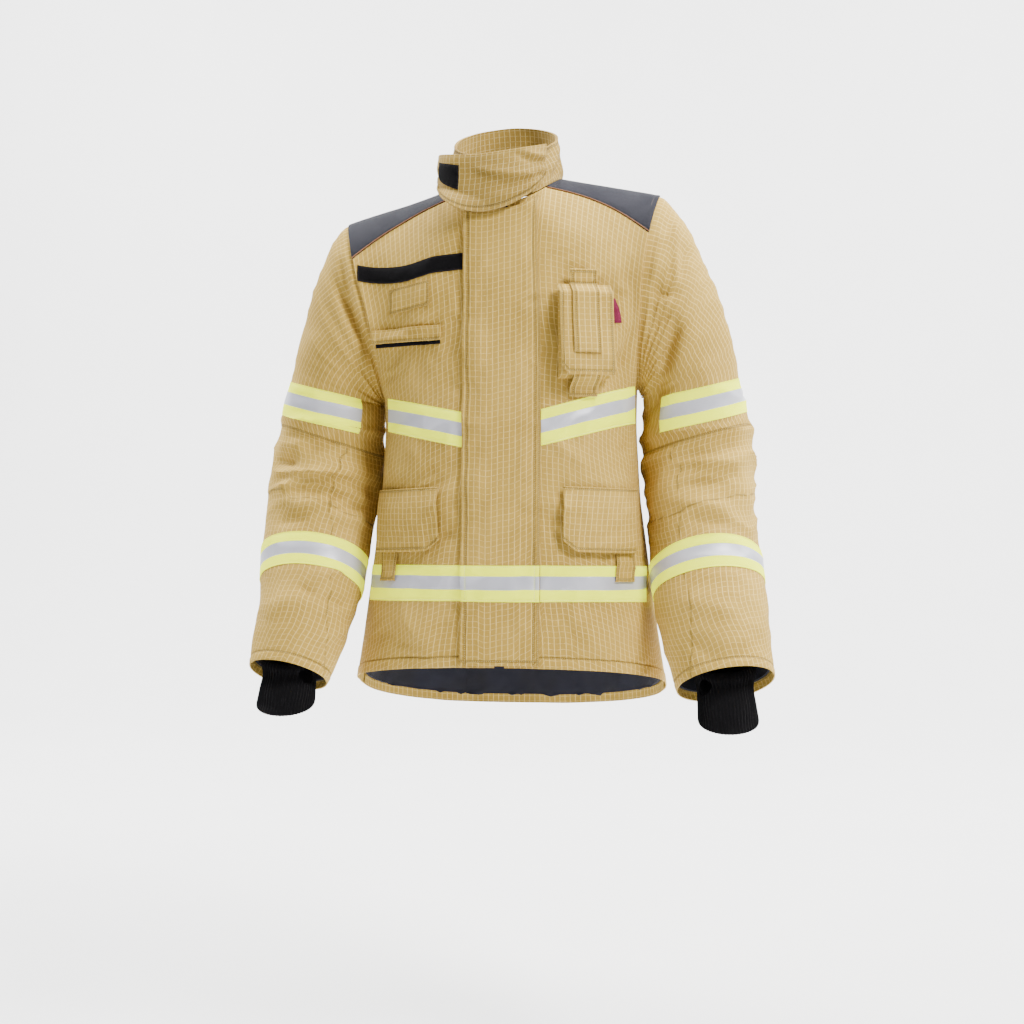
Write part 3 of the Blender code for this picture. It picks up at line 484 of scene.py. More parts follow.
def collar_flap_point(psi, h, off=0.0):
    """The wrap-over flap: h 0 is its lower edge and 1 its upper edge."""
    q = (psi - FLAP_ENDS[0]) / (FLAP_ENDS[1] - FLAP_ENDS[0])
    low, high = flap_low(psi), 0.010 - 0.015 * np.sin(math.pi * q)
    z = low + h * (high - low)
    x = (0.087 + 0.013 * (1 - q)) * np.sin(psi) - 0.007 * q
    y = MID_Y - 0.010 - (0.108 + 0.014 * (1 - h)) * np.cos(psi)
    y = np.minimum(y, smooth_body(x, z, -1.0)[..., 1] - FLAP_CLEAR)
    out = np.stack([np.sin(psi), -np.cos(psi), np.zeros_like(psi)], -1)
    return np.stack([x, y, z + 0.5 * TILT * x], -1) + out * np.asarray(off)[..., None]



# Folds on the sleeves seen from the front: x and z of both ends, height, width on each side.
SLEEVE_FOLDS = {
    "right": (
        (-0.238, -0.120, -0.172, -0.345, 0.0120, 0.012, 0.020), (-0.262, -0.160, -0.180, -0.332, -0.0180,
                                                                 0.007, 0.014),
        (-0.248, -0.145, -0.232, -0.200, -0.0070, 0.006, 0.008), (-0.300, -0.250, -0.250, -0.330, 0.0060,
                                                                  0.018, 0.030),
        (-0.328, -0.330, -0.270, -0.345, 0.0060, 0.010, 0.020), (-0.356, -0.442, -0.315, -0.447, -0.0090,
                                                                 0.006, 0.008),
        (-0.356, -0.418, -0.300, -0.420, 0.0070, 0.010, 0.012), (-0.335, -0.402, -0.280, -0.410, -0.0040,
                                                                 0.006, 0.008),
        (-0.306, -0.425, -0.245, -0.418, -0.0070, 0.008, 0.010), (-0.304, -0.458, -0.342, -0.492, 0.0060,
                                                                  0.008, 0.014),
        (-0.300, -0.462, -0.215, -0.455, 0.0080, 0.010, 0.012), (-0.325, -0.480, -0.262, -0.478, -0.0080,
                                                                 0.010, 0.012),
        (-0.261, -0.496, -0.236, -0.494, -0.0065, 0.006, 0.009), (-0.320, -0.512, -0.260, -0.508, 0.0060,
                                                                  0.009, 0.012),
        (-0.252, -0.510, -0.212, -0.515, -0.0070, 0.007, 0.009), (-0.212, -0.465, -0.195, -0.530, -0.0060,
                                                                  0.010, 0.012),
        (-0.340, -0.535, -0.290, -0.525, -0.0045, 0.008, 0.014), (-0.262, -0.520, -0.215, -0.535, 0.0060,
                                                                  0.008, 0.012),
        (-0.295, -0.622, -0.265, -0.635, -0.0060, 0.006, 0.008), (-0.270, -0.612, -0.235, -0.604, 0.0060,
                                                                  0.007, 0.011),
        (-0.258, -0.640, -0.225, -0.655, -0.0060, 0.006, 0.010), (-0.340, -0.670, -0.300, -0.640, 0.0045,
                                                                  0.012, 0.020),
        (-0.262, -0.700, -0.222, -0.690, 0.0060, 0.008, 0.012), (-0.340, -0.725, -0.310, -0.745, -0.0045,
                                                                 0.010, 0.012),
    ),
    "left": (
        (0.244, -0.083, 0.246, -0.198, 0.0090, 0.006, 0.020), (0.255, -0.132, 0.252, -0.183, -0.0085, 0.007,
                                                               0.010),
        (0.213, -0.185, 0.240, -0.110, 0.0090, 0.010, 0.014), (0.208, -0.195, 0.247, -0.209, -0.0075, 0.006,
                                                               0.009),
        (0.228, -0.192, 0.210, -0.231, -0.0050, 0.006, 0.009), (0.215, -0.225, 0.245, -0.205, 0.0060, 0.009,
                                                                0.009),
        (0.243, -0.231, 0.206, -0.254, -0.0075, 0.006, 0.009), (0.250, -0.238, 0.222, -0.321, -0.0160,
                                                                0.008, 0.014),
        (0.222, -0.321, 0.203, -0.376, -0.0120, 0.008, 0.014), (0.262, -0.240, 0.240, -0.330, 0.0080, 0.012,
                                                                0.030),
        (0.300, -0.150, 0.330, -0.300, 0.0055, 0.016, 0.026), (0.275, -0.300, 0.300, -0.350, 0.0045, 0.014,
                                                               0.022),
        (0.240, -0.432, 0.350, -0.425, -0.0068, 0.006, 0.012), (0.275, -0.455, 0.355, -0.440, 0.0075, 0.010,
                                                                0.018),
        (0.245, -0.480, 0.330, -0.470, -0.0050, 0.007, 0.012), (0.232, -0.500, 0.330, -0.512, 0.0057, 0.009,
                                                                0.014),
        (0.260, -0.525, 0.320, -0.530, -0.0045, 0.006, 0.010), (0.250, -0.640, 0.330, -0.655, 0.0050, 0.012,
                                                                0.018),
        (0.262, -0.690, 0.300, -0.720, -0.0050, 0.008, 0.014), (0.300, -0.700, 0.350, -0.690, 0.0050, 0.010,
                                                                0.016),
    ),
}
SEEDS = {"right": 40, "left": 60}
ARM_LENGTH = 0.42        # of the sleeve from v 1 to v 2
ARM_RADIUS = 0.075       # of the sleeve, about halfway down


def sleeve(side, theta, v, off=0.0):
    """The worn sleeve, folds included."""
    theta, v, off = np.broadcast_arrays(np.asarray(theta, float), np.asarray(v, float),
                                        np.asarray(off, float))
    v = slanted(theta, v)
    point = smooth_sleeve(side, theta, v, off)
    across = point - smooth_sleeve(side, theta + math.pi, v, off)
    out = across / np.linalg.norm(across, axis=-1, keepdims=True)
    ahead = smooth((np.sin(theta) + 0.15) / 0.5)
    ends = smooth(v / 0.10) * smooth((2.03 - v) / 0.12)
    tuck = np.array([SIGN[side] * 0.0045, 0, 0]) * (1 - smooth(v / 0.03))[..., None]
    along = ARM_LENGTH * v
    wrapped = ARM_RADIUS * np.sin(theta)
    elbow = np.exp(-((v - 1.30) / 0.22) ** 2)
    random = (0.0014 * crumple(wrapped, along, SEEDS[side], 0.085, 0.35)
              + 0.0014 * waves(wrapped, along, SEEDS[side] + 5, 0.12, 0.8))
    behind = 0.0030 * crumple(wrapped, along, SEEDS[side] + 9, 0.13, 0.5) + 0.0015
    folds = creases(point[..., 0], point[..., 2], SLEEVE_FOLDS[side]) * ahead
    total = folds + random * (0.8 + 1.7 * elbow) + behind * (1 - ahead) * (0.35 + elbow)
    return point + out * (total * ends)[..., None] - tuck


def collar_worn(psi, h, off=0.0):
    """The collar with the creases where its wrap-over pulls it."""
    folds = ((0.95, 0.20, 1.55, 0.95, 0.0045, 0.10, 0.14), (1.15, 0.15, 1.75, 0.60, -0.0045, 0.08, 0.12),
             (0.85, 0.55, 1.30, 1.05, -0.0035, 0.07, 0.10), (1.60, 0.10, 2.10, 0.75, 0.0030, 0.12, 0.16))
    psi, h = np.broadcast_arrays(np.asarray(psi, float), np.asarray(h, float))
    bump = creases(psi, h, folds) + 0.0007 * waves(psi * 0.09, h * 0.08, 81, 0.05, 0.8)
    return collar_ring(psi, h, off + bump * smooth(h / 0.2))


def wrap(psi, h, off=0.0):
    """The wrap-over flap with its drag folds, which run to its sewn end."""
    folds = ((-0.50, 0.80, 0.86, 0.28, 0.0042, 0.050, 0.085),
             (-0.15, 0.52, 0.84, 0.18, -0.0034, 0.045, 0.060),
             (0.20, 0.95, 0.86, 0.42, -0.0040, 0.045, 0.060), (-0.20, 0.26, 0.80, 0.10, 0.0026, 0.045,
                                                               0.060),
             (0.40, 0.90, 0.84, 0.62, 0.0038, 0.045, 0.060), (0.55, 0.45, 0.86, 0.05, -0.0030, 0.050, 0.050))
    psi, h, off = np.broadcast_arrays(*(np.asarray(value, float) for value in (psi, h, off)))
    bump = creases(psi, h, folds) + 0.0007 * waves(psi * 0.10, h * 0.05, 91, 0.04, 0.7)
    quiet = smooth(h / 0.2) * smooth((1.02 - h) / 0.12)
    return collar_flap_point(psi, h, off + bump * quiet)


# ---------------------------------------------------------------- from surfaces to cloth
def ladder(length, step, marks=(), ends=(True, True)):
    """Stations from 0 to 1 along length metres, closer at the edges and at marks, metres from them."""
    places = list(np.linspace(0, length, max(3, int(length / step) + 1)))
    special = list(EDGE_STEPS)
    for mark in marks:
        special += [mark - STITCH_ROOM, mark, mark + STITCH_ROOM]
    edges = [0.0, length]
    if ends[0]:
        edges += special
    if ends[1]:
        edges += [length - value for value in special]
    edges = [value for value in edges if 0 <= value <= length]
    kept = [value for value in places if min(abs(value - other) for other in edges) > 0.4 * step]
    return np.unique(np.round(np.array(edges + kept) / length, 7))


def arc(points, axis):
    """Distance run along an axis of a grid of points."""
    steps = np.linalg.norm(np.diff(points, axis=axis), axis=-1)
    total = np.cumsum(steps, axis=axis)
    return np.concatenate([np.zeros_like(points.take([0], axis=axis)[..., 0]), total], axis=axis)


def normals(points, closed):
    """Unit normals of a grid, out of the side where across x down points."""
    if closed:
        ring = np.concatenate([points[:, -2:-1], points, points[:, 1:2]], axis=1)
        across = (ring[:, 2:] - ring[:, :-2])
    else:
        across = np.gradient(points, axis=1)
    normal = np.cross(across, np.gradient(points, axis=0))
    return normal / (np.linalg.norm(normal, axis=-1, keepdims=True) + 1e-12)


def quads(rows, columns, first=0, flip=False):
    """Corner numbers of a grid's faces."""
    at = first + np.arange(rows * columns).reshape(rows, columns)
    face = np.stack([at[:-1, :-1], at[:-1, 1:], at[1:, 1:], at[1:, :-1]], -1).reshape(-1, 4)
    return face[:, ::-1] if flip else face


def rim_quads(line, count, flip):
    """Faces between the outer and the inner grid along one border."""
    face = np.stack([line[:-1], line[1:], line[1:] + count, line[:-1] + count], -1)
    return face[:, ::-1] if flip else face


def woven(name, points, thick, closed, facts, under=None):
    """A closed shell whose outer face is the grid of points, with cloth coordinates in metres."""
    rows, columns = points.shape[:2]
    count = rows * columns
    inner = points - normals(points, closed) * thick if under is None else under
    at = np.arange(count).reshape(rows, columns)
    faces = [quads(rows, columns), quads(rows, columns, count, True),
             rim_quads(at[0], count, True), rim_quads(at[-1], count, False)]
    if not closed:
        faces += [rim_quads(at[:, 0], count, False), rim_quads(at[:, -1], count, True)]
    faces = np.concatenate(faces)
    places = np.concatenate([points.reshape(-1, 3), inner.reshape(-1, 3)])
    mesh = bpy.data.meshes.new(name)
    mesh.from_pydata(places.tolist(), [], faces.tolist())
    layer = mesh.uv_layers.new(name="cloth")
    flat = np.stack([np.tile(facts["u"].ravel(), 2), np.tile(facts["v"].ravel(), 2)], -1)
    layer.data.foreach_set("uv", flat[faces.ravel()].astype(np.float32).ravel())
    for key in ("rim", "run", "sewn"):
        attribute = mesh.attributes.new(key, "FLOAT", "POINT")
        attribute.data.foreach_set("value", np.tile(facts[key].ravel(), 2).astype(np.float32))
    if closed:
        bm = bmesh.new()
        bm.from_mesh(mesh)
        bmesh.ops.remove_doubles(bm, verts=bm.verts, dist=1e-6)
        bm.to_mesh(mesh)
        bm.free()
    mesh.shade_smooth()
    mesh.set_sharp_from_angle(angle=math.radians(50))
    return mesh


def sewn_edges(u, v, borders):
    """Distance to the nearest border, and the run along that border."""
    gaps = {"left": u, "right": u.max(1, keepdims=True) - u, "top": v, "low": v.max(0, keepdims=True) - v}
    used = [gaps[key] for key in borders]
    runs = [v if key in ("left", "right") else u for key in borders]
    if not used:
        return np.full(u.shape, 1.0), u
    stack = np.stack(used)
    nearest = stack.argmin(0)
    return stack.min(0), np.take_along_axis(np.stack(runs), nearest[None], 0)[0]


def cloth_grid(surface, us, vs, off, closed=False, pad=0.0, soft=0.012, stitches=(), borders=None,
               pucker=0.0003, rounded=0.0006, lines=(), bands=()):
    """Points of a piece with its padding, rounded edges and sewn grooves, and its cloth coordinates."""
    grid_u, grid_v = np.meshgrid(us, vs)
    smooth_points = surface(grid_u, grid_v, off)
    u, v = arc(smooth_points, 1), arc(smooth_points, 0)
    u = u - u.mean(1, keepdims=True)
    start = u.min(1, keepdims=True)
    names = borders if borders is not None else (("top", "low") if closed else ("left", "right", "top",
                                                                                "low"))
    rim, run = sewn_edges(u - start, v, names)
    sewn = np.full(u.shape, 0.05)
    lift = pad * smooth(rim / soft)
    sources = [(rim, run, distance) for distance in stitches]
    total_u = (u - start).max(1, keepdims=True)
    for kind, distance in lines:
        where = {"left": u - start, "right": total_u - (u - start), "top": v,
                 "low": v.max(0, keepdims=True) - v}
        sources.append((where[kind], v if kind in ("left", "right") else u, distance))
    for gap, along, distance in sources:
        away = np.abs(gap - distance)
        run = np.where(away < sewn, along, run)
        sewn = np.minimum(sewn, away)
        lift = lift - 0.0006 * np.exp(-(away / 0.0011) ** 2)
        turns = 2 * math.pi / 0.011
        if closed:
            turns = 2 * math.pi * np.round(total_u / 0.011) / total_u
        lift = lift + pucker * np.sin((along - start) * turns) * np.exp(-(away / 0.006) ** 2)
    for kind, width, height_up in bands:
        gap = {"top": v, "low": v.max(0, keepdims=True) - v}[kind]
        lift = lift + height_up * smooth((width - gap) / 0.0022)
    lift = lift - rounded * np.exp(-rim / 0.0006)
    points = surface(grid_u, grid_v, off + lift)
    return points, {"u": u, "v": v, "rim": rim, "run": run, "sewn": sewn}


SLOTS = {part["node"]: part["material_slot"] for part in frame["record"]["subparts"]}
SHEETS = []


def piece(node, points, facts, thick, closed=False, reference=None, look=None, name=None, under=None):
    """A finished cloth piece which stands for a CAD node."""
    if reference is not None:
        turned = facing(points, reference)
        if turned is not points:
            points = turned
            under = None if under is None else under[:, ::-1]
            facts = {key: value[:, ::-1] for key, value in facts.items()}
    mesh = woven(name or f"cloth_{node}", points, thick, closed, facts, under)
    made = bpy.data.objects.new(name or f"cloth_{node}", mesh)
    bpy.context.scene.collection.objects.link(made)
    mesh.materials.append(LOOKS[look or SLOTS[node]]())
    made["of_node"] = node
    wide = float((facts["u"].max(1) - facts["u"].min(1)).max())
    tall = float(facts["v"].max())
    step_u = np.diff(facts["u"], axis=1)[:-1] * np.diff(facts["v"], axis=0)[:, :-1]
    SHEETS.append((made, wide, tall, float(np.abs(step_u).sum())))
    return made


def stand_for(made, *nodes):
    """Rides on the body of the nodes that it stands for."""
    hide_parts(*nodes)
    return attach(made, frame["nodes"][nodes[0]]["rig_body"])


# ---------------------------------------------------------------- materials
PAINTED_GLOW = 0.75       # strength of the painted glow that makes the yellow cloth look fluorescent


class Look:
    """A procedural material and short ways to add its nodes."""

    def __init__(self, name):
        self.made = bpy.data.materials.new(name)
        self.made.use_nodes = True
        self.tree = self.made.node_tree
        self.shader = self.tree.nodes["Principled BSDF"]

    def node(self, kind, inputs=(), **settings):
        made = self.tree.nodes.new(kind)
        for key, value in settings.items():
            setattr(made, key, value)
        for key, value in dict(inputs).items():
            self.put(made.inputs[key], value)
        return made

    def put(self, socket, value):
        if isinstance(value, bpy.types.NodeSocket):
            self.tree.links.new(value, socket)
        else:
            socket.default_value = value

    def math(self, operation, a, b=0.0, c=0.0):
        return self.node("ShaderNodeMath", {0: a, 1: b, 2: c}, operation=operation).outputs[0]

    def ramp(self, value, low, high, to_low=0.0, to_high=1.0):
        """A soft step of value from low to high."""
        made = self.node("ShaderNodeMapRange", {"Value": value, "From Min": low, "From Max": high,
                                                "To Min": to_low, "To Max": to_high},
                         interpolation_type="SMOOTHSTEP")
        return made.outputs["Result"]

    def mix(self, share, a, b, blend="MIX"):
        made = self.node("ShaderNodeMix", data_type="RGBA", blend_type=blend)
        for socket, value in ((made.inputs[0], share), (made.inputs[6], a), (made.inputs[7], b)):
            self.put(socket, (*value, 1.0) if isinstance(value, tuple) and len(value) == 3 else value)
        return made.outputs[2]

    def attribute(self, name):
        return self.node("ShaderNodeAttribute", attribute_name=name).outputs["Fac"]

    def noise(self, vector, scale, detail=2.0, rough=0.5):
        return self.node("ShaderNodeTexNoise", {"Vector": vector, "Scale": scale, "Detail": detail,
                                                "Roughness": rough}).outputs[0]

    def cloth(self):
        """The cloth's own coordinates in metres: vector, across and down."""
        uv = self.node("ShaderNodeUVMap", uv_map="cloth").outputs[0]
        parts = self.node("ShaderNodeSeparateXYZ", {0: uv})
        return uv, parts.outputs[0], parts.outputs[1]

    def place(self):
        return self.node("ShaderNodeTexCoord").outputs["Object"]

    def bump(self, height_value, distance, strength=1.0):
        made = self.node("ShaderNodeBump", {"Height": height_value, "Distance": distance,
                                            "Strength": strength})
        self.tree.links.new(made.outputs[0], self.shader.inputs["Normal"])

    def finish(self, colour, rough, sheen=0.0, metal=0.0, shine=0.12):
        self.put(self.shader.inputs["Specular IOR Level"], shine)
        self.put(self.shader.inputs["Base Color"], colour)
        self.put(self.shader.inputs["Roughness"], rough)
        self.put(self.shader.inputs["Sheen Weight"], sheen)
        self.put(self.shader.inputs["Metallic"], metal)
        return self.made


def stretched(look, vector, across, down):
    """Cloth coordinates scaled differently across and down."""
    return look.node("ShaderNodeMapping", {"Vector": vector, "Scale": (across, down, 1.0)}).outputs[0]


def yarn_line(look, value, pitch, width):
    """1 on thin lines pitch apart."""
    share = look.math("FRACT", look.math("DIVIDE", value, pitch))
    away = look.math("ABSOLUTE", look.math("SUBTRACT", share, 0.5))
    return look.ramp(away, width * 1.35 / pitch, width * 0.35 / pitch)


def threads(look, u, v, pitch):
    """A plain weave's height, from 0 to 1."""
    k = 2 * math.pi / pitch
    across, down = look.math("SINE", look.math("MULTIPLY", u, k)), look.math("SINE",
                                                                             look.math("MULTIPLY", v, k))
    return look.math("MULTIPLY_ADD", look.math("MULTIPLY", across, down), 0.5, 0.5)


def stitching(look):
    """Dashes of thread along the sewn lines, and the mask for the painted shade in the pressed seam's groove
    round them.
    """
    sewn, run = look.attribute("sewn"), look.attribute("run")
    dash = look.ramp(look.math("FRACT", look.math("DIVIDE", run, 0.0031)), 0.66, 0.58)
    line = look.ramp(sewn, 0.00062, 0.00030)
    shade = look.ramp(sewn, 0.0027, 0.0006)
    return look.math("MULTIPLY", line, dash), shade


CACHE = {}


def cached(maker):
    """Makes each material once."""
    def get():
        if maker.__name__ not in CACHE:
            CACHE[maker.__name__] = maker(Look(maker.__name__))
        return CACHE[maker.__name__]
    return get


def ripstop(look, ground, warm, yarn, worn):
    """Woven cloth with a grid of heavier yarns."""
    uv, u, v = look.cloth()
    place = look.place()
    blotch = look.ramp(look.noise(place, 11.0, 3.0, 0.55), 0.36, 0.64)
    colour = look.mix(blotch, ground, warm)
    slub = look.noise(stretched(look, uv, 900.0, 110.0), 1.0, 2.0)
    weft = look.noise(stretched(look, uv, 110.0, 900.0), 1.0, 2.0)
    fleck = look.math("MULTIPLY_ADD", look.math("ADD", slub, weft), 0.5, 0.0)
    colour = look.mix(look.ramp(fleck, 0.40, 0.62, 0.0, 0.20), colour, worn)
    strong = look.math("MULTIPLY", yarn_line(look, u, PITCH, 0.00072),
                       look.ramp(look.noise(stretched(look, uv, 60.0, 260.0), 1.0, 2.0), 0.30, 0.60, 0.55,
                                 1.0))
    faint = look.math("MULTIPLY", yarn_line(look, v, PITCH, 0.00056),
                      look.ramp(look.noise(stretched(look, uv, 260.0, 60.0), 1.0, 2.0), 0.35, 0.65, 0.25,
                                0.75))
    lines = look.math("MAXIMUM", strong, faint)
    colour = look.mix(look.math("MULTIPLY", lines, 0.72), colour, yarn)
    thread, pressed = stitching(look)
    # painted shade: the cloth is darkened in the groove beside each seam
    colour = look.mix(look.math("MULTIPLY", pressed, 0.72), colour, tuple(c * 0.36 for c in ground))
    colour = look.mix(look.math("MULTIPLY", thread, 0.50), colour, yarn)
    edge = look.ramp(look.attribute("rim"), 0.0020, 0.0002)
    colour = look.mix(look.math("MULTIPLY", edge, 0.30), colour, worn)
    weave = threads(look, u, v, 0.00115)
    relief = look.math("ADD", look.math("MULTIPLY", weave, 0.5), look.math("MULTIPLY", lines, 0.9))
    relief = look.math("ADD", relief, look.math("MULTIPLY", fleck, 0.7))
    relief = look.math("ADD", relief, look.math("MULTIPLY", thread, 1.4))
    look.bump(relief, 0.00022)
    return look.finish(colour, look.ramp(fleck, 0.3, 0.7, 0.78, 0.92), 0.02)


@cached
def shell(look):
    return ripstop(look, (0.385, 0.240, 0.038), (0.450, 0.285, 0.050), (0.800, 0.590, 0.200),
                   (0.52, 0.35, 0.10))


# painted shade: the shell's ripstop darkened as the collar's inside looks in shade; stand, lining and
# wrap-over flap all use it
@cached
def collar(look):
    return ripstop(look, (0.250, 0.158, 0.028), (0.300, 0.192, 0.036), (0.560, 0.420, 0.160),
                   (0.34, 0.23, 0.075))


@cached
def yoke(look):
    uv, u, v = look.cloth()
    fleck = look.noise(stretched(look, uv, 700.0, 500.0), 1.0, 3.0, 0.7)
    blotch = look.ramp(look.noise(look.place(), 18.0, 3.0), 0.35, 0.65)
    colour = look.mix(blotch, (0.013, 0.013, 0.020), (0.022, 0.022, 0.030))
    colour = look.mix(look.ramp(fleck, 0.48, 0.72, 0.0, 0.55), colour, (0.052, 0.053, 0.066))
    thread, pressed = stitching(look)
    # painted shade: the yoke cloth is darkened in the groove beside each seam
    colour = look.mix(look.math("MULTIPLY", pressed, 0.5), colour, (0.020, 0.020, 0.026))
    colour = look.mix(look.math("MULTIPLY", thread, 0.7), colour, (0.160, 0.125, 0.110))
    relief = look.math("ADD", threads(look, u, v, 0.0014), look.math("MULTIPLY", fleck, 1.3))
    look.bump(look.math("ADD", relief, thread), 0.00028)
    return look.finish(colour, look.ramp(fleck, 0.3, 0.7, 0.70, 0.92), 0.03, 0.0, 0.16)


@cached
def lining(look):
    uv, u, v = look.cloth()
    fleck = look.noise(stretched(look, uv, 800.0, 800.0), 1.0, 2.0)
    colour = look.mix(look.ramp(fleck, 0.35, 0.7), (0.010, 0.010, 0.013), (0.022, 0.021, 0.028))
    blotch = look.noise(look.place(), 14.0, 2.0)
    colour = look.mix(look.ramp(blotch, 0.4, 0.65, 0.0, 0.5), colour, (0.022, 0.023, 0.036))
    relief = look.math("ADD", threads(look, u, v, 0.0012), fleck)
    look.bump(relief, 0.00018)
    return look.finish(colour, look.ramp(blotch, 0.3, 0.7, 0.62, 0.8), 0.03)


@cached
def barrier(look):
    uv, u, v = look.cloth()
    fleck = look.noise(stretched(look, uv, 500.0, 500.0), 1.0, 3.0)
    colour = look.mix(look.ramp(fleck, 0.4, 0.65), (0.60, 0.60, 0.56), (0.72, 0.72, 0.68))
    look.bump(look.math("ADD", threads(look, u, v, 0.002), fleck), 0.0002)
    return look.finish(colour, look.ramp(fleck, 0.3, 0.7, 0.45, 0.6))


@cached
def knit(look):
    uv, _, v = look.cloth()
    loops = look.math("SINE", look.math("MULTIPLY", v, 2 * math.pi / 0.0018))
    fuzz = look.noise(stretched(look, uv, 1400.0, 900.0), 1.0, 3.0, 0.7)
    colour = look.mix(look.ramp(fuzz, 0.42, 0.72), (0.003, 0.003, 0.0035), (0.012, 0.011, 0.013))
    relief = look.math("ADD", look.math("MULTIPLY", loops, 0.5), fuzz)
    look.bump(relief, 0.00045)
    return look.finish(colour, look.ramp(fuzz, 0.3, 0.7, 0.82, 0.98), 0.02, 0.0, 0.06)


@cached
def hook(look):
    uv, _, _ = look.cloth()
    fuzz = look.noise(stretched(look, uv, 1500.0, 1500.0), 1.0, 3.0, 0.8)
    colour = look.mix(look.ramp(fuzz, 0.45, 0.75), (0.003, 0.003, 0.0035), (0.014, 0.012, 0.013))
    edge = look.ramp(look.attribute("rim"), 0.0022, 0.0016)
    colour = look.mix(look.math("MULTIPLY", edge, 0.5), colour, (0.016, 0.014, 0.015))
    thread, _ = stitching(look)
    colour = look.mix(look.math("MULTIPLY", thread, 0.4), colour, (0.045, 0.040, 0.038))
    look.bump(fuzz, 0.0006)
    return look.finish(colour, look.ramp(fuzz, 0.3, 0.7, 0.8, 1.0), 0.0, 0.0, 0.06)


@cached
def tape(look):
    uv, u, v = look.cloth()
    band_low, band_high = 0.0152, 0.0346
    inside = look.math("MULTIPLY", look.ramp(v, band_low - 0.00025, band_low + 0.00025),
                       look.ramp(v, band_high + 0.00025, band_high - 0.00025))
    streak = look.noise(stretched(look, uv, 70.0, 1600.0), 1.0, 3.0, 0.6)
    weave = threads(look, u, v, 0.0013)
    yellow = look.mix(look.ramp(streak, 0.35, 0.65), (0.74, 0.86, 0.001), (0.88, 0.97, 0.004))
    beads = look.noise(stretched(look, uv, 1200.0, 1200.0), 1.0, 2.0)
    cloudy = look.noise(look.place(), 16.0, 3.0)
    silver = look.mix(look.ramp(cloudy, 0.35, 0.68), (0.46, 0.465, 0.520), (0.54, 0.545, 0.600))
    silver = look.mix(look.ramp(beads, 0.4, 0.7, 0.0, 0.25), silver, (0.52, 0.53, 0.56))
    colour = look.mix(inside, yellow, silver)
    thread, pressed = stitching(look)
    # painted shade: the yellow is darkened in the groove beside each stitched line
    colour = look.mix(look.math("MULTIPLY", pressed, 0.25), colour, (0.52, 0.60, 0.02))
    colour = look.mix(look.math("MULTIPLY", thread, 0.6), colour, (0.85, 0.90, 0.40))
    scuff = look.ramp(look.noise(stretched(look, uv, 40.0, 220.0), 1.0, 4.0, 0.7), 0.60, 0.74)
    colour = look.mix(look.math("MULTIPLY", scuff, 0.22), colour, (0.40, 0.38, 0.26))
    flat = look.math("SUBTRACT", 1.0, inside)
    relief = look.math("ADD", look.math("MULTIPLY", look.math("ADD", weave, streak), flat),
                       look.math("MULTIPLY", beads, look.math("MULTIPLY", inside, 0.4)))
    look.bump(relief, 0.00018)
    rough = look.math("SUBTRACT", 0.80, look.math("MULTIPLY", inside, 0.36))
    # painted glow: the yellow band emits light of its own so that it looks fluorescent
    look.put(look.shader.inputs["Emission Color"], look.mix(inside, (0.76, 0.78, 0.0), (0.0, 0.0, 0.0)))
    look.put(look.shader.inputs["Emission Strength"], PAINTED_GLOW)
    return look.finish(colour, rough, 0.0, look.math("MULTIPLY", inside, 0.20), 0.3)


@cached
def label(look):
    uv, u, v = look.cloth()
    fleck = look.noise(stretched(look, uv, 1600.0, 700.0), 1.0, 2.0)
    colour = look.mix(look.ramp(fleck, 0.35, 0.7), (0.120, 0.008, 0.030), (0.230, 0.018, 0.060))
    look.bump(look.math("ADD", threads(look, u, v, 0.0008), fleck), 0.00015)
    return look.finish(colour, look.ramp(fleck, 0.3, 0.7, 0.6, 0.8), 0.03)


@cached
def piping(look):
    uv, u, v = look.cloth()
    twist = look.math("SINE", look.math("MULTIPLY", look.math("ADD", v, u), 2 * math.pi / 0.0016))
    fleck = look.noise(stretched(look, uv, 900.0, 900.0), 1.0, 2.0)
    colour = look.mix(look.ramp(fleck, 0.35, 0.7), (0.200, 0.085, 0.035), (0.360, 0.180, 0.085))
    look.bump(twist, 0.0002)
    return look.finish(colour, look.ramp(fleck, 0.3, 0.7, 0.6, 0.8))


@cached
def metal(look):
    place = look.place()
    grain = look.noise(look.node("ShaderNodeMapping",
                                 {"Vector": place, "Scale": (400.0, 400.0, 2600.0)}).outputs[0],
                       1.0, 3.0)
    tarnish = look.ramp(look.noise(place, 60.0, 3.0), 0.4, 0.65)
    colour = look.mix(tarnish, (0.60, 0.52, 0.36), (0.38, 0.31, 0.19))
    look.bump(grain, 0.0001)
    return look.finish(colour, look.ramp(grain, 0.3, 0.7, 0.26, 0.46), 0.0, 1.0, 0.5)


LOOKS = {"shell": shell, "collar": collar, "yoke": yoke, "lining": lining, "barrier": barrier, "knit": knit,
         "hook": hook,
         "tape": tape, "label": label, "piping": piping, "metal": metal}


# ---------------------------------------------------------------- body pieces
def even(curve, first, last, step, marks=(), ends=(True, True)):
    """Parameter values which are evenly spaced along a curve, closer at its ends and marks."""
    values = np.linspace(first, last, 600)
    run = arc(curve(values), 0)
    return np.interp(ladder(run[-1], step, marks, ends) * run[-1], run, values)


def hanging(top, low, side):
    """Surface between two edges of the body, both given as distances down from the shoulder line."""
    def surface(s, t, off):
        first = top(s, side)
        return body_down(s, first + t * (low(s, side) - first), side, off)
    return surface


def seam_top(s, side):
    """The seam under the yoke, and the neck seam beside it."""
    return d_top(s, side) - CLEAR


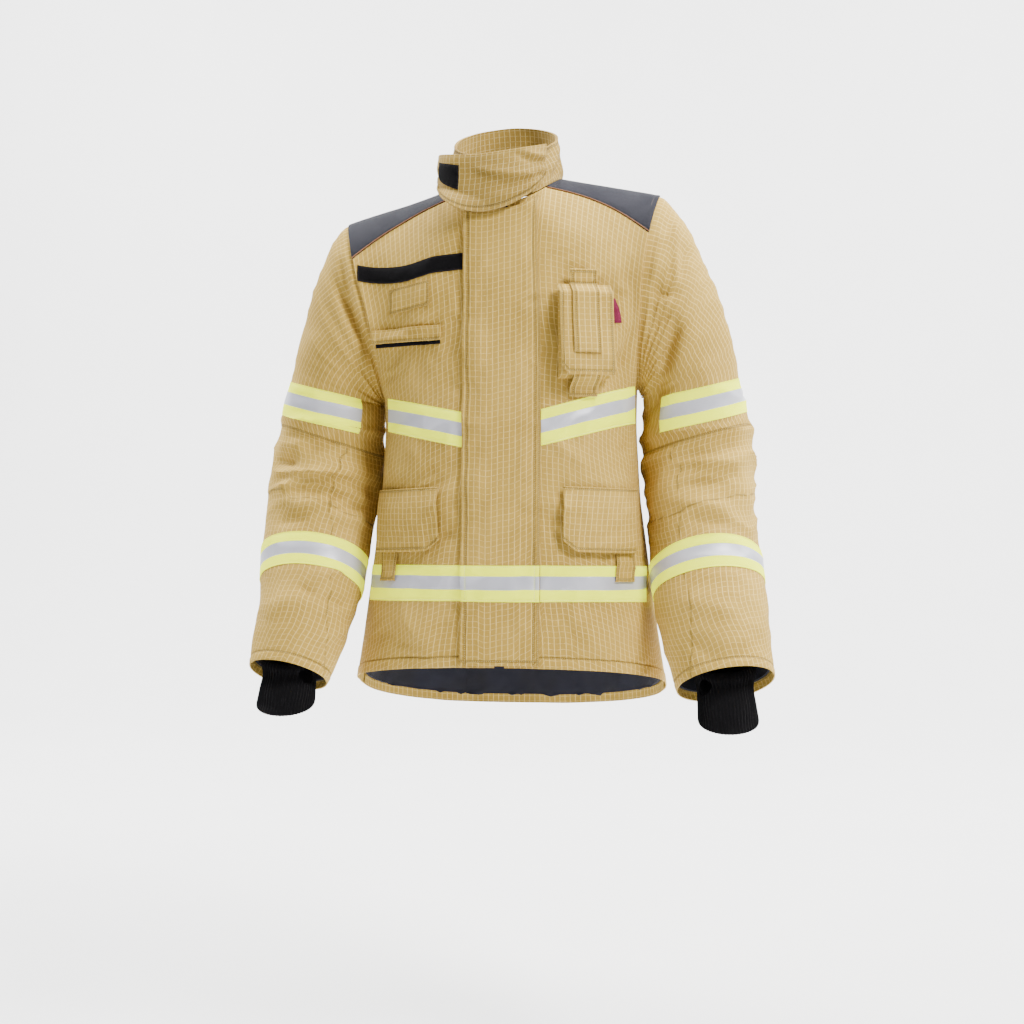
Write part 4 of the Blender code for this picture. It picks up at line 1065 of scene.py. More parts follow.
def add_panel(node, first, last, side, top=seam_top, low=None, off=0.0, thick=CLOTH, length=0.70, step=FINE,
              **look):
    """One panel of the body."""
    surface = hanging(top, low or d_hem, side)
    marks = [distance for _, distance in look.get("lines", ())]
    us = even(lambda s: surface(s, np.full_like(s, 0.6), 0.0), first, last, step, look.get("stitches", ()))
    vs = ladder(length, step, marks)
    points, facts = cloth_grid(surface, us, vs, off, **look)
    return piece(node, points, facts, thick, reference=BODY_MIDDLE)


def liner_low(s, side):
    """Where the liner ends, above the hem."""
    return down_to(s, hem_z(s, side) + FACING + 0.0040)


def quilted(surface):
    """A surface pressed in along the diamond lines of its quilting."""
    def pressed(s, t, off):
        points = surface(s, t, off)
        across, down = arc(points, 1), arc(points, 0)
        lines = [np.abs(np.sin((across * k + down) * math.pi / 0.055)) for k in (1, -1)]
        return surface(s, t, off - 0.0022 * np.exp(-(np.minimum(*lines) / 0.16) ** 2))
    return pressed


def add_liner(node, off, thick, quilt):
    """One of the coat's inner layers, in two front pieces and a back."""
    made = []
    front = ZIP_SHARE * 3.2
    for part, first, last, side in (("right", -1, -front, -1), ("left", front, 1, -1), ("back", -1, 1, 1)):
        surface = hanging(d_neck, liner_low, side)
        surface = quilted(surface) if quilt else surface
        us = even(lambda s: surface(s[None], np.full_like(s[None], 0.6), 0.0)[0], first, last, 0.006)
        points, facts = cloth_grid(surface, us, ladder(0.68, 0.006), off)
        made.append(piece(node, points, facts, thick, reference=BODY_MIDDLE, name=f"cloth_{node}_{part}"))
    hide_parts(node)
    for part in made:
        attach(part, "body")
    return made


def tube_along(name, line, radius, look, body_name="body"):
    """A thin round cord along a line of points."""
    turn = np.linspace(0, 2 * math.pi, 9)
    run = np.gradient(line, axis=0)
    run = run / np.linalg.norm(run, axis=1, keepdims=True)
    side = np.cross(run, np.array([0.0, 0.0, 1.0]))
    side = side / np.linalg.norm(side, axis=1, keepdims=True)
    up = np.cross(side, run)
    points = (line[:, None] + radius * (np.cos(turn)[None, :, None] * side[:, None]
                                        + np.sin(turn)[None, :, None] * up[:, None]))
    u, v = arc(points, 1), arc(points, 0)
    flat = np.zeros(u.shape)
    turned = facing(points, line[len(line) // 2])
    mesh = woven(name, turned, radius * 0.5, True,
                 {"u": u, "v": v, "rim": flat + 1, "run": v, "sewn": flat + 1})
    made = bpy.data.objects.new(name, mesh)
    bpy.context.scene.collection.objects.link(made)
    mesh.materials.append(LOOKS[look]())
    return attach(made, body_name)


def yoke_low(s, side):
    """The yoke's lower edge, lapped over the panel."""
    return seam_top(s, side) + 0.0008


def make_body():
    """Panels, yokes, piping, liner and the hem's facing."""
    for name, sign in (("right", -1), ("left", 1)):
        stand_for(add_panel(f"front_panel_{name}", sign * ZIP_SHARE, sign, -1, lines=(("low", HEM_STITCH),),
                            bands=(("low", HEM_STITCH, 0.0010),)), f"front_panel_{name}")
        first = sign * (YOKE_X + 0.0005) / TIP_X
        parts = []
        for side in (-1, 1):
            stitched = (("left" if sign < 0 else "right", 0.008), ("low", 0.0025))
            part = add_panel(f"yoke_{name}", first, sign * 1.0, side, top=d_neck, low=yoke_low, off=0.0009,
                             thick=0.0018, length=0.075, lines=stitched)
            part.name = f"cloth_yoke_{name}_{'front' if side < 0 else 'back'}"
            parts.append(part)
            s = np.linspace(sign * (YOKE_X + 0.001) / TIP_X, sign * 0.995, 90)
            line = body_down(s, seam_top(s, side) + 0.0006, side, 0.0009)
            tube_along(f"piping_{name}_{'front' if side < 0 else 'back'}", line, 0.0008, "piping")
        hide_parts(f"yoke_{name}")
        for part in parts:
            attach(part, "body")
    stand_for(add_panel("back_panel", -1, 1, 1, lines=(("low", HEM_STITCH),),
                        bands=(("low", HEM_STITCH, 0.0010),)), "back_panel")
    add_liner("moisture_barrier", -0.0032, 0.0008, False)
    add_liner("thermal_liner", -0.0050, QUILT, True)
    facing_top = lambda s, side: down_to(s, hem_z(s, side) + FACING + 0.0015)
    facing_low = lambda s, side: down_to(s, hem_z(s, side) + 0.0012)
    stand_for(add_panel("hem_facing", -0.995, 0.995, 1, top=facing_top, low=facing_low, off=-0.0020,
                        thick=0.0012,
                        length=FACING), "hem_facing")


# ---------------------------------------------------------------- sleeves
def bending(made):
    """Bakes the transform of a piece below the elbow's cross seam into its mesh."""
    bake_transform(made)


def add_tube(node, side, first, last, off, thick, step=0.0046, **look):
    """A length of sleeve."""
    surface = lambda theta, v, lift: sleeve(side, theta, v, lift)
    marks = [distance for _, distance in look.get("lines", ())]
    vs = even(lambda v: sleeve(side, np.full_like(v, 0.5), v), first, last, step, marks)
    us = np.linspace(0, 2 * math.pi, int(round(0.48 / step)) + 1)
    points, facts = cloth_grid(surface, us, vs, off, closed=True, **look)
    centre = points[points.shape[0] // 2].mean(0)
    return piece(node, points, facts, thick, closed=True, reference=centre)


def tape_span(side, thetas, low_v, width):
    """The v of a tape's upper edge at each angle, so that it is width tall above low_v."""
    v = np.linspace(0.3, 2.0, 400)
    tops = []
    for theta in thetas:
        run = arc(smooth_sleeve(side, np.full_like(v, theta), slanted(theta, v)), 0)
        tops.append(np.interp(np.interp(low_v, v, run) - width, run, v))
    return np.array(tops)


def add_sleeve_tape(node, side, first, last, low_v, closed):
    """A tape round the sleeve."""
    thetas = np.linspace(first, last, 60)
    tops = tape_span(side, thetas, low_v, TAPE)
    tops = np.convolve(np.pad(tops, 4, mode="wrap" if closed else "edge"), np.ones(9) / 9, "valid")

    def surface(theta, t, off):
        top = np.interp(theta, thetas, tops)
        return sleeve(side, theta, top + t * (low_v - top), off)

    us = np.linspace(first, last, int(abs(last - first) * 0.077 / FINE))
    vs = ladder(TAPE, 0.004, (0.0155, 0.0345))
    borders = ("top", "low") if closed else None
    points, facts = cloth_grid(surface, us, vs, AIR + TAPE_FACE, closed=closed, borders=borders,
                               rounded=0.0002,
                               lines=(("top", 0.002), ("low", 0.002)), pucker=0.00015)
    centre = points[points.shape[0] // 2].mean(0)
    return piece(node, points, facts, TAPE_FACE, closed=closed, reference=centre)


def knit_point(side, theta, h, off, deep=0.0007):
    """The knitted wristlet with its ribs and folds."""
    point = wristlet_point(side, theta, h)
    across = point - wristlet_point(side, theta + math.pi, h)
    out = across / np.linalg.norm(across, axis=-1, keepdims=True)
    ribs = deep * np.cos(RIBS * theta)
    sag = 0.0022 * np.sin(9.0 * h + 1.3 * np.sin(theta)) * smooth(h / 0.2) * smooth((1 - h) / 0.1)
    rim = 0.0016 * np.exp(-((h - 0.97) / 0.04) ** 2)
    return point + out * (off + ribs + sag + rim)[..., None]


RIBS = 52


def make_sleeve(side):
    """Upper and lower sleeve with their linings, tapes and the wristlet."""
    stand_for(add_tube(f"upper_sleeve_{side}", side, 0.0, SEAM_V, 0.0, CLOTH, lines=(("low", 0.0030),)),
              f"upper_sleeve_{side}")
    cuff = 0.0135
    lower = add_tube(f"lower_sleeve_{side}", side, SEAM_V, 2.0, -0.0002, CLOTH,
                     lines=(("low", cuff), ("top", 0.105), ("left", 0.160)), bands=(("low", cuff, 0.0009),))
    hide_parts(f"lower_sleeve_{side}")
    bending(lower)
    stand_for(add_tube(f"upper_sleeve_lining_{side}", side, 0.03, SEAM_V, -0.0085, 0.0025, 0.010),
              f"upper_sleeve_lining_{side}")
    lining = add_tube(f"lower_sleeve_lining_{side}", side, SEAM_V, 1.975, -0.0045, 0.0025, 0.010)
    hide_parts(f"lower_sleeve_lining_{side}")
    bending(lining)
    reach = 0.75 * math.pi
    stand_for(add_sleeve_tape(f"trim_upper_sleeve_{side}", side, -reach, reach - 0.06, 1.125, False),
              f"trim_upper_sleeve_{side}")
    tape = add_sleeve_tape(f"trim_lower_sleeve_{side}", side, 0.0, 2 * math.pi, 1.708, True)
    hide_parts(f"trim_lower_sleeve_{side}")
    bending(tape)
    us = np.linspace(0, 2 * math.pi, RIBS * 4 + 1)
    vs = ladder(0.09, 0.0035)
    points, facts = cloth_grid(lambda t, h, off: knit_point(side, t, h, off), us, vs, 0.0, closed=True)
    inner = knit_point(side, *np.meshgrid(us, vs), -0.0024, 0.0)
    knit = piece(f"wristlet_{side}", points, facts, 0.0025, closed=True,
                 reference=points[len(points) // 2].mean(0),
                 under=inner)
    thumb_hole(knit, side)
    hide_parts(f"wristlet_{side}")
    bending(knit)


THUMB_RADIUS = 0.0105    # of the hole for the thumb


def thumb_hole(knit, side):
    """Cuts the thumb hole through the wristlet's front wall."""
    theta = np.array([math.radians(135)])
    at = Vector(wristlet_point(side, theta, np.array([0.42]))[0])
    away = (at - Vector(wristlet_point(side, theta + math.pi, np.array([0.42]))[0])).normalized()
    mesh = bpy.data.meshes.new("thumb_cutter")
    bm = bmesh.new()
    bmesh.ops.create_cone(bm, cap_ends=True, segments=40, radius1=THUMB_RADIUS, radius2=THUMB_RADIUS,
                          depth=0.03)
    bm.to_mesh(mesh)
    bm.free()
    cutter = bpy.data.objects.new("thumb_cutter", mesh)
    bpy.context.scene.collection.objects.link(cutter)
    cutter.matrix_world = Matrix.Translation(at) @ away.to_track_quat("Z", "Y").to_matrix().to_4x4()
    cut = knit.modifiers.new("thumb", "BOOLEAN")
    cut.object = cutter
    graph = bpy.context.evaluated_depsgraph_get()
    knit.data = bpy.data.meshes.new_from_object(knit.evaluated_get(graph))
    knit.modifiers.clear()
    bpy.data.objects.remove(cutter)


# ---------------------------------------------------------------- collar
def flat_flap(psi, h, off=0.0):
    """The wrap-over flap, whose free end lies flatter than the neck is round."""
    point = wrap(psi, h, off)
    a = np.abs(np.sin(psi))
    flatter = (1 - a**3.2) ** (1 / 3.2) - np.cos(psi)
    share = smooth((-psi - 0.15) / 0.7)
    point = point.copy()
    point[..., 1] -= 0.100 * flatter * share
    return point


def make_collar():
    """Stand, lining, wrap-over flap, its square of fastener, and the hanging loop."""
    gap = math.radians(3)
    middle = np.array([0.0, MID_Y, 0.0])
    for node, thick, off, low, lines in (("collar_stand", 0.0020, 0.0, 0.02, (("top", 0.004),)),
                                         ("collar_lining", 0.0016, -0.0022, 0.10, ())):
        us = even(lambda p: collar_worn(p, np.full_like(p, 0.8)), gap, 2 * math.pi - gap, 0.003)
        points, facts = cloth_grid(collar_worn, us, ladder(0.07, 0.003, (0.004,))[::-1] * (1 - low) + low,
                                   off,
                                   lines=lines)
        stand_for(piece(node, points, facts, thick, reference=middle, look="collar"), node)
    us = even(lambda p: flat_flap(p, np.full_like(p, 0.5)), *FLAP_ENDS, 0.0028, (0.004,))
    vs = ladder(0.085, 0.0028, (0.0075,))[::-1]
    points, facts = cloth_grid(flat_flap, us, vs, FOLDED + 0.0010, pad=0.0012, lines=(("low", 0.0075),),
                               bands=(("low", 0.0075, 0.0014),), rounded=0.0012)
    stand_for(piece("collar_flap", points, facts, FOLDED, reference=middle, look="collar"), "collar_flap")
    us = even(lambda p: flat_flap(p, np.full_like(p, 0.5)), math.radians(-66), math.radians(-37), 0.003)
    vs = np.linspace(0.80, 0.36, 16)
    points, facts = cloth_grid(flat_flap, us, vs, FOLDED + 0.0010 + 0.0012 + 0.0016, stitches=(0.002,))
    stand_for(piece("collar_patch", points, facts, 0.0012, reference=middle), "collar_patch")
    half, width = 0.030, 0.0125

    def loop(t, z, off):
        x = -half * np.cos(t)
        y = LOOP_RISE * (np.sin(t) - 1) - 0.088 * (1 - np.sqrt(1 - (x / 0.088) ** 2)) + off
        return np.stack([x, y, -width * z], -1)

    points, facts = cloth_grid(loop, np.linspace(0, math.pi, 60), ladder(width, 0.002, (0.002,)), 0.0,
                               stitches=(0.002,))
    stand_for(piece("hang_loop", points, facts, 0.0016, reference=middle), "hang_loop")


# ---------------------------------------------------------------- patches on the body
def patch(node, x0, x1, low, high, side, off, thick, rise=None, step=0.0038, marks=(), name=None,
          stands=True, **look):
    """A piece laid on the body between x0 and x1 and the heights low(x) and high(x)."""
    def surface(x, t, lift):
        z = high(x) + t * (low(x) - high(x))
        extra = rise(x, z) if rise else 0.0
        return body(x, z, side, lift + extra)

    x0, x1 = min(x0, x1), max(x0, x1)
    middle = np.array((x0 + x1) / 2)
    tall = float(high(middle) - low(middle))
    marks = tuple(marks) + tuple(distance for _,
                                 distance in look.get("lines", ())) + tuple(look.get("stitches", ()))
    us = even(lambda x: surface(x, np.full_like(x, 0.5), off), x0, x1, step, marks)
    vs = ladder(tall, step, marks)
    points, facts = cloth_grid(surface, us, vs, off, **look)
    made = piece(node, points, facts, thick, reference=BODY_MIDDLE, name=name)
    if stands:
        stand_for(made, node)
    else:
        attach(made, frame["nodes"][node]["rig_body"])
    return made


def tape_on_body(node, x0, x1, middle, side, rise=None, off=AIR + TAPE_FACE):
    """A reflective tape along the body."""
    return patch(node, x0, x1, lambda x: middle(x) - TAPE / 2, lambda x: middle(x) + TAPE / 2, side, off,
                 TAPE_FACE,
                 rise=rise, marks=(0.0155, 0.0345), lines=(("top", 0.002), ("low", 0.002)), rounded=0.0002,
                 pucker=0.00015)


def make_tapes():
    """Chest and waist tapes."""
    edge, waist, behind = FLAP_HALF - 0.006, 0.2035, 0.172
    for name, sign, chest in (("right", -1, 0.176), ("left", 1, 0.186)):
        inner = sign * (edge if sign < 0 else FLAP_HALF + 0.0006)
        tape_on_body(f"trim_chest_{name}", inner, sign * chest, chest_z, -1)
        tape_on_body(f"trim_waist_{name}", inner, sign * waist, lambda x: waist_z(x, -1), -1)
    tape_on_body("trim_waist_back", -waist, waist, lambda x: waist_z(x, 1), 1)
    tape_on_body("trim_chest_back", -behind, behind, height(-0.367), 1)


def flap_rise(x, z):
    """How far the storm flap stands off the front: free on one side and sewn on the other."""
    q = np.clip(x / FLAP_HALF / 2 + 0.5, 0, 1)
    return AIR + 0.0022 * (1 - q) + 0.0040 * np.sin(math.pi * q) ** 0.8


def tucked_top(x):
    """The storm flap's top edge, under the throat flap on its free side."""
    q = np.clip(x / FLAP_HALF / 2 + 0.5, 0, 1)
    return flap_top(x) + 0.004 + 0.012 * (1 - q)


def make_storm_flap():
    """The padded flap over the zip with its tape and its fastener."""
    sewn_side = (("right", 0.0022), ("right", 0.0082), ("left", 0.0080), ("low", 0.0065))
    patch("storm_flap", -FLAP_HALF, FLAP_HALF, flap_hem, tucked_top, -1, FOLDED, FOLDED, rise=flap_rise,
          lines=sewn_side, pad=0.0006, soft=0.02, rounded=0.0010)
    patch("trim_waist_flap", -FLAP_HALF + 0.0003, FLAP_HALF, lambda x: waist_z(x, -1) - TAPE / 2,
          lambda x: waist_z(x, -1) + TAPE / 2, -1,
          FOLDED + 0.0006 + AIR + TAPE_FACE, TAPE_FACE, rise=flap_rise,
          marks=(0.0155, 0.0345), lines=(("top", 0.002), ("low", 0.002), ("left", 0.007), ("right", 0.007)),
          rounded=0.0002, pucker=0.00015)
    patch("flap_fastener_loop", -FLAP_HALF + 0.004, -FLAP_HALF + 0.024, height(-0.66), height(-0.14), -1,
          AIR + 0.0006, 0.0006)


def flap_top(x):
    """Top edge of the storm flap, just below the throat flap."""
    return flap_low(np.arcsin(np.clip(x / 0.097, -1, 1))) - FLAP_TUCK - 0.12 * np.abs(x)


def flap_hem(x):
    """Bottom edge of the storm flap."""
    return hem_z(x / half_width(HEM_Z), -1) + 0.004


def waist_z(x, side):
    """Middle of the tape round the waist."""
    a = np.clip(np.abs(x) / half_width(WAIST_Z), 0, 1)
    deep = np.where(side > 0, back_depth(WAIST_Z), front_depth(WAIST_Z))
    return WAIST_Z - WAIST_DROP * side * deep * (1 - a**SECTION_POWER) ** (1 / SECTION_POWER)


def chest_z(x):
    """Middle of the slanting chest tapes."""
    return -0.367 - 0.235 * (0.19 - np.abs(x))


def slope(z_inner, z_outer, x_inner=-0.087, x_outer=-0.186):
    """A straight line of heights between two places on the chest."""
    return lambda x: z_inner + (x - x_inner) / (x_outer - x_inner) * (z_outer - z_inner)


def make_chest_right():
    """Badge strip, microphone loop, pocket flap and zip on the wearer's right chest."""
    middle, away = -0.149, lambda x: np.maximum(-0.149 - x, 0) / 0.07
    wave = lambda x: -0.1629 + 0.0142 * away(x) ** 2 + 0.0075 * smooth((x - middle) / 0.055)
    patch("badge_strip", -0.2095, -0.0505, lambda x: wave(x) - 0.012, lambda x: wave(x) + 0.012, -1,
          AIR + 0.0012,
          0.0012, stitches=(0.0018,))
    patch("mic_loop", -0.167, -0.105, slope(-0.2135, -0.2205, -0.105, -0.167),
          slope(-0.1765, -0.1835, -0.105, -0.167),
          -1, AIR + 0.0014, 0.0013, stitches=(0.0025,))
    patch("chest_pocket_zip", -0.190, -0.089, slope(-0.2715, -0.2680), slope(-0.2600, -0.2560), -1,
          AIR + 0.0010,
          0.0009)
    patch("chest_flap", -0.194, -0.087, slope(-0.2665, -0.2625), slope(-0.2440, -0.2415), -1,
          0.0022 + FOLDED, 0.0022,
          rise=lambda x, z: 0.0026 * smooth((-0.243 - z) / 0.018), lines=(("low", 0.0030),), rounded=0.0008)


def make_label():
    """The plain woven label beside the radio pocket."""
    patch("side_label", 0.1530, 0.1642, height(-0.2570), height(-0.2225), -1, AIR + 0.0012, 0.0010,
          stitches=(0.0015,), step=0.002)


TAB_X = {"right": 0.1555, "left": 0.1630}     # inner edges of the pull tabs


def make_cargo(side):
    """A lower pocket: mouth, flap with a cut corner, pull tab and bar tacks."""
    sign = SIGN[side]
    corner = lambda x: np.clip((0.108 - np.abs(x)) / 0.021, 0, 1) * 0.017
    top = lambda x: -0.480 - 0.05 * (np.abs(x) - 0.087)
    low = lambda x: -0.571 - 0.05 * (np.abs(x) - 0.087) + corner(x)
    puff = lambda x, z: 0.0040 * smooth((top(x) - z) / 0.030) + 0.0025 * smooth((0.110 - np.abs(x)) / 0.03)
    patch(f"cargo_mouth_{side}", sign * 0.097, sign * 0.176, lambda x: top(x) - 0.030,
          lambda x: top(x) - 0.016, -1,
          AIR + 0.0008, 0.0008)
    patch(f"cargo_flap_{side}", sign * 0.089, sign * 0.190, low, top, -1, 0.0030 + FOLDED, 0.0026, rise=puff,
          lines=(("low", 0.0050), ("top", 0.0030)), stitches=(), rounded=0.0010)
    tab = TAB_X[side]
    patch(f"cargo_tab_{side}", sign * tab, sign * (tab + 0.0265), lambda x: low(x) - 0.041,
          lambda x: low(x) + 0.016, -1,
          0.0034, 0.0022, rise=lambda x, z: 0.0016 * smooth((low(x) - z) / 0.02), stitches=(0.0035,),
          rounded=0.0008)
    for offset in (0.0015, 0.0085):
        inner = sign * (0.089 + offset)
        patch(f"cargo_flap_{side}", inner, inner + sign * 0.0055, lambda x: top(x) - 0.0050,
              lambda x: top(x) - 0.0032,
              -1, 0.0030 + FOLDED + 0.0010, 0.0010, rise=puff, step=0.0015, stands=False,
              name=f"bar_tack_{side}_{int(offset * 10000)}")


# ---------------------------------------------------------------- radio pocket
RADIO_X, RADIO_Z = 0.115, -0.2695
RADIO_HALF, RADIO_TALL = 0.039, 0.118


def radio_frame():
    """Matrix of the radio pocket: x across it, y into the coat, z up, on the body's surface."""
    at, beside = (Vector(smooth_body(x, RADIO_Z, -1.0)) for x in (RADIO_X, RADIO_X + 0.01))
    right = beside - at
    right.z = 0
    right.normalize()
    up = Vector((0, 0, 1))
    matrix = Matrix((right, up.cross(right), up)).transposed().to_4x4()
    matrix.translation = at + matrix.to_3x3() @ Vector((0, -0.0035, 0))
    return matrix


def placed(x, out, z):
    """Points in the radio pocket's frame, out metres in front of its back."""
    matrix = np.array(radio_frame())
    local = np.stack(np.broadcast_arrays(x, -out, z), -1)
    return local @ matrix[:3, :3].T + matrix[:3, 3]


def pocket_depth(z):
    """The pocket's depth, slimmer at its mouth."""
    return 0.011 + 0.009 * smooth((RADIO_TALL / 2 - z) / RADIO_TALL)


def pocket_wall(turn, t, off):
    """Round the pocket's sides and front, closing in at its bottom."""
    z = RADIO_TALL / 2 - t * (RADIO_TALL + 0.006)
    close = np.sqrt(np.clip(1 - np.clip((t - 0.93) / 0.07, 0, 1) ** 2, 0, 1))
    power = 2 / 6.5
    x = (RADIO_HALF + off) * np.sign(np.cos(turn)) * np.abs(np.cos(turn)) ** power
    out = (pocket_depth(z) + off) * np.abs(np.sin(turn)) ** power * close - 0.004
    return placed(x, out, z)


def strip_piece(node, x0, x1, z_high, z_low, depth_at, thick, name=None, **look):
    """A flap or strap in the radio pocket's frame; z_high and z_low are heights, or functions of x."""
    high = z_high if callable(z_high) else (lambda x: np.full_like(x, z_high))
    low = z_low if callable(z_low) else (lambda x: np.full_like(x, z_low))

    def surface(x, t, off):
        z = high(x) + t * (low(x) - high(x))
        return placed(x, depth_at(x, z) + off, z)

    marks = tuple(distance for _, distance in look.get("lines", ())) + tuple(look.get("stitches", ()))
    tall = float(high(np.array(0.0)) - low(np.array(0.0)))
    us = x0 + ladder(x1 - x0, 0.003, marks) * (x1 - x0)
    points, facts = cloth_grid(surface, us, ladder(tall, 0.003, marks), thick, **look)
    matrix = radio_frame()
    behind = matrix @ Vector((0, 0.05, 0))
    return stand_for(piece(node, points, facts, thick, reference=np.array(behind), name=name), node)


def make_radio_pocket():
    """The standing pocket, its flap, the strap over the flap and the pull tab."""
    turn = even(lambda a: pocket_wall(a, np.full_like(a, 0.5), 0.0), math.pi - 0.03, 0.03, 0.003)
    points, facts = cloth_grid(pocket_wall, turn, ladder(RADIO_TALL, 0.003), 0.0, pad=0.0)
    behind = np.array(radio_frame() @ Vector((0, 0.05, 0)))
    stand_for(piece("radio_pocket", points, facts, CLOTH, reference=behind), "radio_pocket")
    half, tall = RADIO_HALF + 0.001, RADIO_TALL
    top, bottom = tall / 2 + 0.009, -tall / 2 - 0.0015
    corner = lambda x: bottom + np.clip((-half + 0.010 - x) / 0.010, 0, 1) * 0.012
    bend = lambda x, z: (pocket_depth(z) * smooth((top - z) / 0.014) + 0.0010
                         + 0.0022 * smooth((tall * 0.1 - z) / 0.05) * np.cos(x / half * 1.2)
                         + 0.0012 * np.sin(x * 95 + z * 60) * smooth((-0.02 - z) / 0.02))
    strip_piece("radio_flap", -half, half, top, corner, bend, 0.0024,
                lines=(("low", 0.006), ("right", 0.004),
                ("left", 0.004)), rounded=0.0009)
    above = tall / 2 + 0.031
    lift = lambda x, z: (0.0030 + (pocket_depth(z) + 0.0022) * smooth((tall / 2 + 0.012 - z) / 0.016)
                         + 0.0016 * smooth((0.020 - z) / 0.04))
    strip_piece("radio_strap", -0.022, 0.019, above, -0.029, lift, 0.0022,
                lines=(("top", 0.004), ("top", 0.020), ("left", 0.004), ("right", 0.004)), rounded=0.0008)
    tab = lambda x, z: pocket_depth(z) * smooth((z + tall / 2 + 0.022) / 0.020) + 0.0015
    strip_piece("radio_tab", -0.022, 0.020, -tall / 2 + 0.006, -tall / 2 - 0.031, tab, 0.0022,
                lines=(("left", 0.0055), ("right", 0.0055), ("low", 0.0030)), rounded=0.0008)


# ---------------------------------------------------------------- zip
def paint(node, look):
    """A CAD node shown in a better finish."""
    mesh = frame["nodes"][node].data
    mesh.materials.clear()
    mesh.materials.append(LOOKS[look]())


def zip_teeth(side):
    """A row of moulded teeth along one edge of the zip, in the place of the plain chain."""
    low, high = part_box(f"zip_chain_{side}")
    mesh = bpy.data.meshes.new(f"teeth_{side}")
    bm = bmesh.new()
    pitch, count = TOOTH_PITCH, int((high.z - low.z) / TOOTH_PITCH)
    sign = SIGN[side]
    for k in range(count):
        z = low.z + (k + (0.5 if sign < 0 else 0.0)) * pitch + 0.0006
        made = bmesh.ops.create_cube(bm, size=1.0)["verts"]
        for vert in made:
            tip = vert.co.x * sign < 0
            x = sign * (0.0002 if tip else 0.0038)
            tall = pitch * (0.52 if tip else 0.36)
            off = 0.0004 if vert.co.y < 0 else -0.0030
            vert.co = (x, zip_y(z, off), z + vert.co.z * tall)
    bm.normal_update()
    bmesh.ops.recalc_face_normals(bm, faces=bm.faces)
    bmesh.ops.bevel(bm, geom=bm.edges, offset=0.00022, segments=1, affect="EDGES")
    bm.to_mesh(mesh)
    bm.free()
    mesh.materials.append(LOOKS["metal"]())
    made = bpy.data.objects.new(f"teeth_{side}", mesh)
    bpy.context.scene.collection.objects.link(made)
    stand_for(made, f"zip_chain_{side}")


TOOTH_PITCH = 0.0032
ZIP_END = 0.008          # how far the shown tapes stop above their nodes' lower ends
ZIP_SLOPE = 0.066


def zip_y(z, off=0.0):
    """The front's middle line at height z."""
    return MID_Y - (0.118 + ZIP_SLOPE * (-0.060 - z)) - off


def make_zip():
    """Cloth tapes, teeth, and the CAD slider and pull in worn brass."""
    for side in ("right", "left"):
        zip_teeth(side)
        low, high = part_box(f"zip_tape_{side}")

        def tape_face(x, t, off):
            z = high.z + t * (low.z + ZIP_END - high.z)
            return np.stack([x, zip_y(z, -0.0024 + off), z], -1)

        us = low.x + ladder(high.x - low.x, 0.002) * (high.x - low.x)
        points, facts = cloth_grid(tape_face, us, ladder(high.z - low.z, 0.006), 0.0, stitches=(0.002,))
        stand_for(piece(f"zip_tape_{side}", points, facts, 0.0007, reference=BODY_MIDDLE),
                  f"zip_tape_{side}")
    paint("zip_slider", "metal")
    paint("zip_pull", "metal")


# ---------------------------------------------------------------- assembly
make_body()
make_sleeve("right")
make_sleeve("left")
make_collar()
make_zip()
make_storm_flap()
make_tapes()
make_chest_right()
make_label()
make_cargo("right")
make_cargo("left")
make_radio_pocket()


def declare_sheets():
    """Goes through the cloth pieces, sized on their own grids, passing over zip tapes, bar tacks and thin
    strips; it declares none of them.
    """
    for made, wide, tall, area in SHEETS:
        if made.name.startswith("bar_tack") or made["of_node"].startswith("zip_"):
            continue
        if min(wide, tall) < 0.0101:
            continue


declare_sheets()


# ---------------------------------------------------------------- room, light and camera
def plain(name, colour, rough):
    """A pale studio surface with a slight mottle."""
    look = Look(name)
    mottle = look.noise(look.place(), 3.0, 3.0)
    shade = look.mix(look.ramp(mottle, 0.3, 0.7, 0.0, 1.0), colour, tuple(c * 0.985 for c in colour))
    return look.finish(shade, rough)


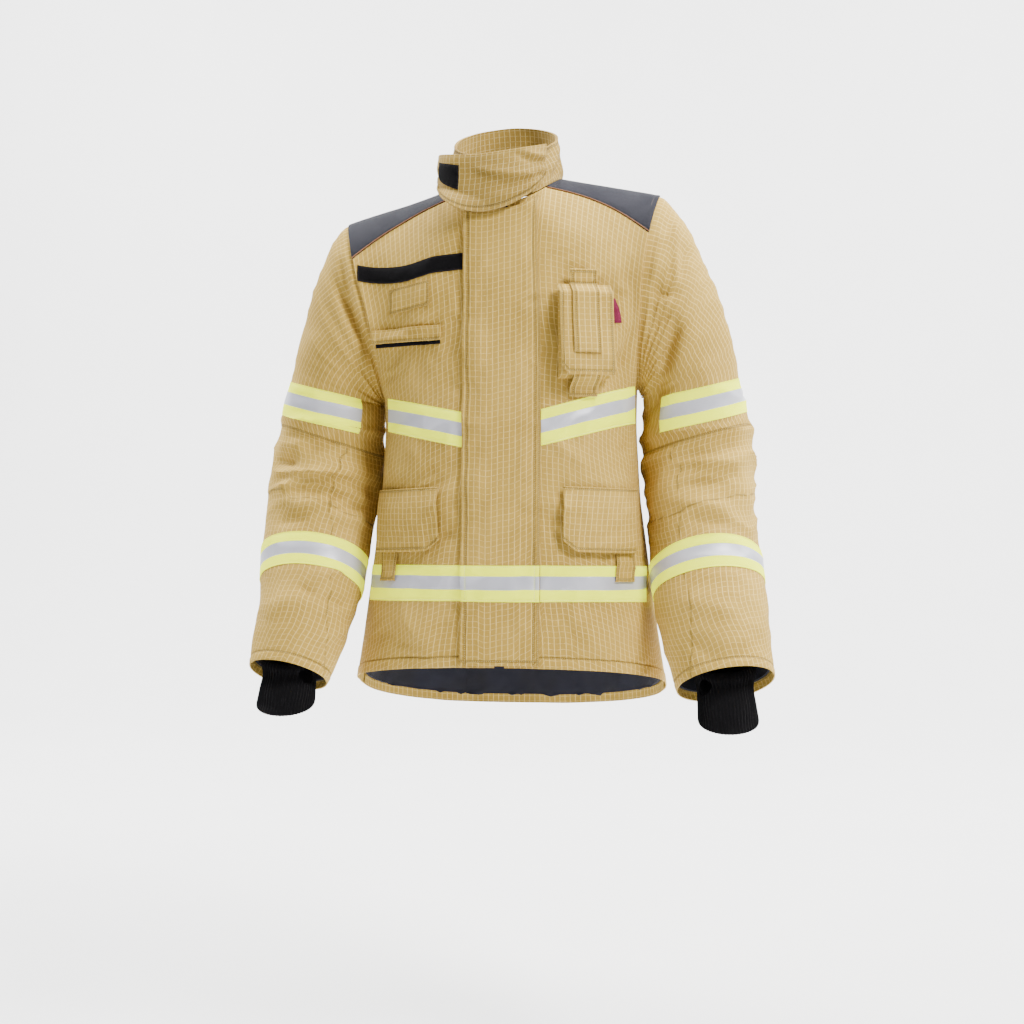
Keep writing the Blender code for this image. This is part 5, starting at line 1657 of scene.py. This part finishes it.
def make_room():
    """A floor that curves up into a backdrop."""
    reach, rise, curve = 9.0, 8.0, 2.0
    floor_z, back_y = FLOOR_Z, 5.0
    bend = np.linspace(0, math.pi / 2, 17)
    ys = np.concatenate([[-reach], back_y - curve + curve * np.sin(bend), [back_y]])
    zs = np.concatenate([[floor_z], floor_z + curve - curve * np.cos(bend), [floor_z + rise]])
    points = [(x, y, z) for y, z in zip(ys.tolist(), zs.tolist()) for x in (-reach, reach)]
    faces = [(2 * k, 2 * k + 1, 2 * k + 3, 2 * k + 2) for k in range(len(ys) - 1)]
    mesh = bpy.data.meshes.new("studio_floor")
    mesh.from_pydata(points, [], faces)
    mesh.shade_smooth()
    mesh.materials.append(plain("studio_pale", (0.86, 0.86, 0.86), 0.9))
    floor = bpy.data.objects.new("studio_floor", mesh)
    bpy.context.scene.collection.objects.link(floor)
    floor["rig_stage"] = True


def area_light(name, place, target, size, power, colour=(1, 1, 1)):
    """A soft square light aimed at target."""
    data = bpy.data.lights.new(name, "AREA")
    data.shape = "SQUARE"
    data.size, data.energy, data.color = size, power, colour
    made = bpy.data.objects.new(name, data)
    made.location = place
    made.rotation_euler = (Vector(target) - Vector(place)).to_track_quat("-Z", "Y").to_euler()
    bpy.context.scene.collection.objects.link(made)
    return made


def make_lights():
    """A key from the upper right, one overhead, a faint fill from the left, and two on the backdrop."""
    middle = (0.0, MID_Y, -0.40)
    area_light("key", (2.0, -1.7, 1.9), middle, 0.9, 200.0, (1.0, 0.985, 0.96))
    area_light("fill", (-2.4, -1.6, 0.9), middle, 2.0, 14.0, (0.97, 0.98, 1.0))
    area_light("top", (0.0, -0.2, 2.4), middle, 1.2, 130.0)
    for sign in (-1, 1):
        area_light(f"backdrop_{sign}", (sign * 3.0, 1.4, 2.6), (sign * 0.6, 4.2, -0.8), 2.4, 640.0)
    world = bpy.data.worlds.new("studio")
    bpy.context.scene.world = world
    world.use_nodes = True
    sky = world.node_tree.nodes["Background"]
    sky.inputs["Color"].default_value = (1.0, 1.0, 1.0, 1.0)
    sky.inputs["Strength"].default_value = 0.16


def make_camera():
    """Level with the chest, a little to the wearer's left of straight ahead."""
    data = bpy.data.cameras.new("camera")
    data.sensor_width = 36.0
    data.lens = 36.0 * CAMERA_AWAY / VIEW_WIDTH
    data.clip_start, data.clip_end = 0.05, 60.0
    made = bpy.data.objects.new("camera", data)
    turn = math.radians(CAMERA_TURN)
    away = Vector((math.sin(turn), -math.cos(turn), 0.0)) * CAMERA_AWAY
    aim = Vector((AIM_X, MID_Y, AIM_Z))
    made.location = Vector((aim.x, aim.y, 0.0)) + away + Vector((0, 0, CAMERA_Z))
    made.rotation_euler = (aim - made.location).to_track_quat("-Z", "Y").to_euler()
    bpy.context.scene.collection.objects.link(made)
    bpy.context.scene.camera = made


FLOOR_Z = -1.35
CAMERA_AWAY, VIEW_WIDTH, CAMERA_TURN = 2.4, 1.536, 6.0
CAMERA_Z, AIM_X, AIM_Z = -0.472, 0.001, -0.519

make_room()
make_lights()
make_camera()

low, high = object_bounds()
{"cad": [list(cad_low), list(cad_high)], "shown": [list(low), list(high)]}
